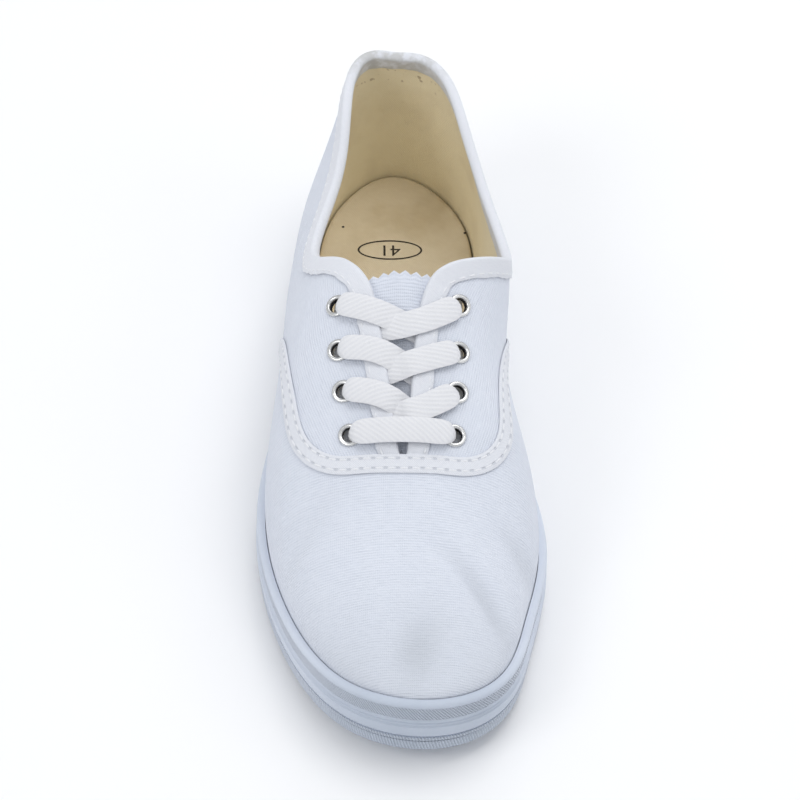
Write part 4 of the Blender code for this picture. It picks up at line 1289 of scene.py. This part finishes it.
def ovalPoints(x, y, wide, deep, count, height):  # half width and half depth
    turn = np.linspace(0, 2 * np.pi, count, endpoint=False)
    return overSole(np.stack((x + wide * np.cos(turn), y + deep * np.sin(turn)), -1), height)


def makeInsoleMark():
    z = soleForm["footbed"] + shoe["fit"] + soleForm["insole"] + markForm["inkAndPinholeShade"]
    x, y, line = markForm["x"], markForm["y"], markForm["line"]
    wide, deep = markForm["width"] / 2, markForm["depth"] / 2
    ovals = [ovalPoints(x, y, wide - trim, deep - trim, 64, z) for trim in (0.0, line)]
    faces = gridFaces(2, 64, closeColumns=True)
    buildPiece("insole_mark_oval", np.concatenate(ovals), faces, [finishes["inkAndPinholeShade"]])
    # the pinholes are dark discs: painted shade in the holes
    for number, (pinX, pinY) in enumerate(markForm["pins"]):
        dot = ovalPoints(pinX, pinY, markForm["pin"], markForm["pin"], 12, z)
        buildPiece("insole_pinhole_shade_%d" % (number + 1), dot, [list(range(12))], [finishes["inkAndPinholeShade"]])
    text = bpy.data.curves.new("insole_mark_number", "FONT")
    text.body = markForm["text"]
    text.size = markForm["textSize"]
    text.align_x = "CENTER"
    text.align_y = "CENTER"
    text.materials.append(finishes["inkAndPinholeShade"])
    number = bpy.data.objects.new("insole_mark_number", text)
    bpy.context.scene.collection.objects.link(number)
    number.location = (x, y, float(underside(shareOf(y))) + z)
    number.rotation_euler = (0, 0, math.pi)
    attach(number, "root")


makeUpper()
print("upper made")
makeSeamTape()
makeCollarTape()
print("tapes made")
makeTongue()
makeEyelets()
makeLace()
print("tongue, eyelets and lace made")
makeFoxing()
makeOutsole()
makeInsole()
makeInsoleMark()
print("sole made")


# Room and camera

studio = {
    "floor": (0.93, 0.93, 0.935),
    "world": (0.95, 0.97, 1.0),
    "worldStrength": 0.67,
    "floorSize": 6.0,
    # place, width and power of each softbox
    "softboxTop": ((0.30, 0.25, 1.5), 0.9, 7.0),
    "softboxLeft": ((-1.1, -0.8, 1.3), 0.8, 6.0),
    "softboxRight": ((1.3, -0.4, 1.0), 0.8, 1.6),
    "softboxBack": ((0.3, 1.3, 1.0), 0.8, 2.5),
    "cameraPlace": (-0.04655, -1.23469, 1.32656),
    "cameraTurn": (43.692, -1.328, -0.756),  # degrees
    "lens": 233.03,
}


def makeStudio():
    mesh = bpy.data.meshes.new("floor")
    size = studio["floorSize"]
    corners = [(-size, -size, 0), (size, -size, 0), (size, size, 0), (-size, size, 0)]
    mesh.from_pydata(corners, [], [(0, 1, 2, 3)])
    paint = Paint("floorPaper")
    grain = paint.noise(paint.objectPoint(), 4.0, 2.0)
    low = tuple(0.985 * c for c in studio["floor"])
    mesh.materials.append(paint.finish(Base_Color=paint.mix(grain, low, studio["floor"]), Roughness=0.9))
    floor = bpy.data.objects.new("floor", mesh)
    floor.location.z = -0.0002
    bpy.context.scene.collection.objects.link(floor)
    world = bpy.data.worlds.new("studio")
    bpy.context.scene.world = world
    world.use_nodes = True
    sky = world.node_tree.nodes["Background"]
    sky.inputs[0].default_value = (*studio["world"], 1)
    sky.inputs[1].default_value = studio["worldStrength"]
    for name in ("softboxTop", "softboxLeft", "softboxRight", "softboxBack"):
        spot, width, power = studio[name]
        lamp = bpy.data.lights.new(name, "AREA")
        lamp.energy = power
        lamp.size = width
        holder = bpy.data.objects.new(name, lamp)
        holder.location = spot
        holder.rotation_euler = (-Vector(spot)).to_track_quat("-Z", "Y").to_euler()
        bpy.context.scene.collection.objects.link(holder)


def makeCamera():
    camera = bpy.data.cameras.new("camera")
    camera.lens = studio["lens"]
    camera.sensor_width = 36.0
    camera.clip_start = 0.1
    camera.clip_end = 50.0
    holder = bpy.data.objects.new("camera", camera)
    holder.location = studio["cameraPlace"]
    holder.rotation_euler = [math.radians(turn) for turn in studio["cameraTurn"]]
    bpy.context.scene.collection.objects.link(holder)
    bpy.context.scene.camera = holder
    bpy.context.scene.view_settings.view_transform = "Standard"


makeStudio()
makeCamera()
print("studio made")
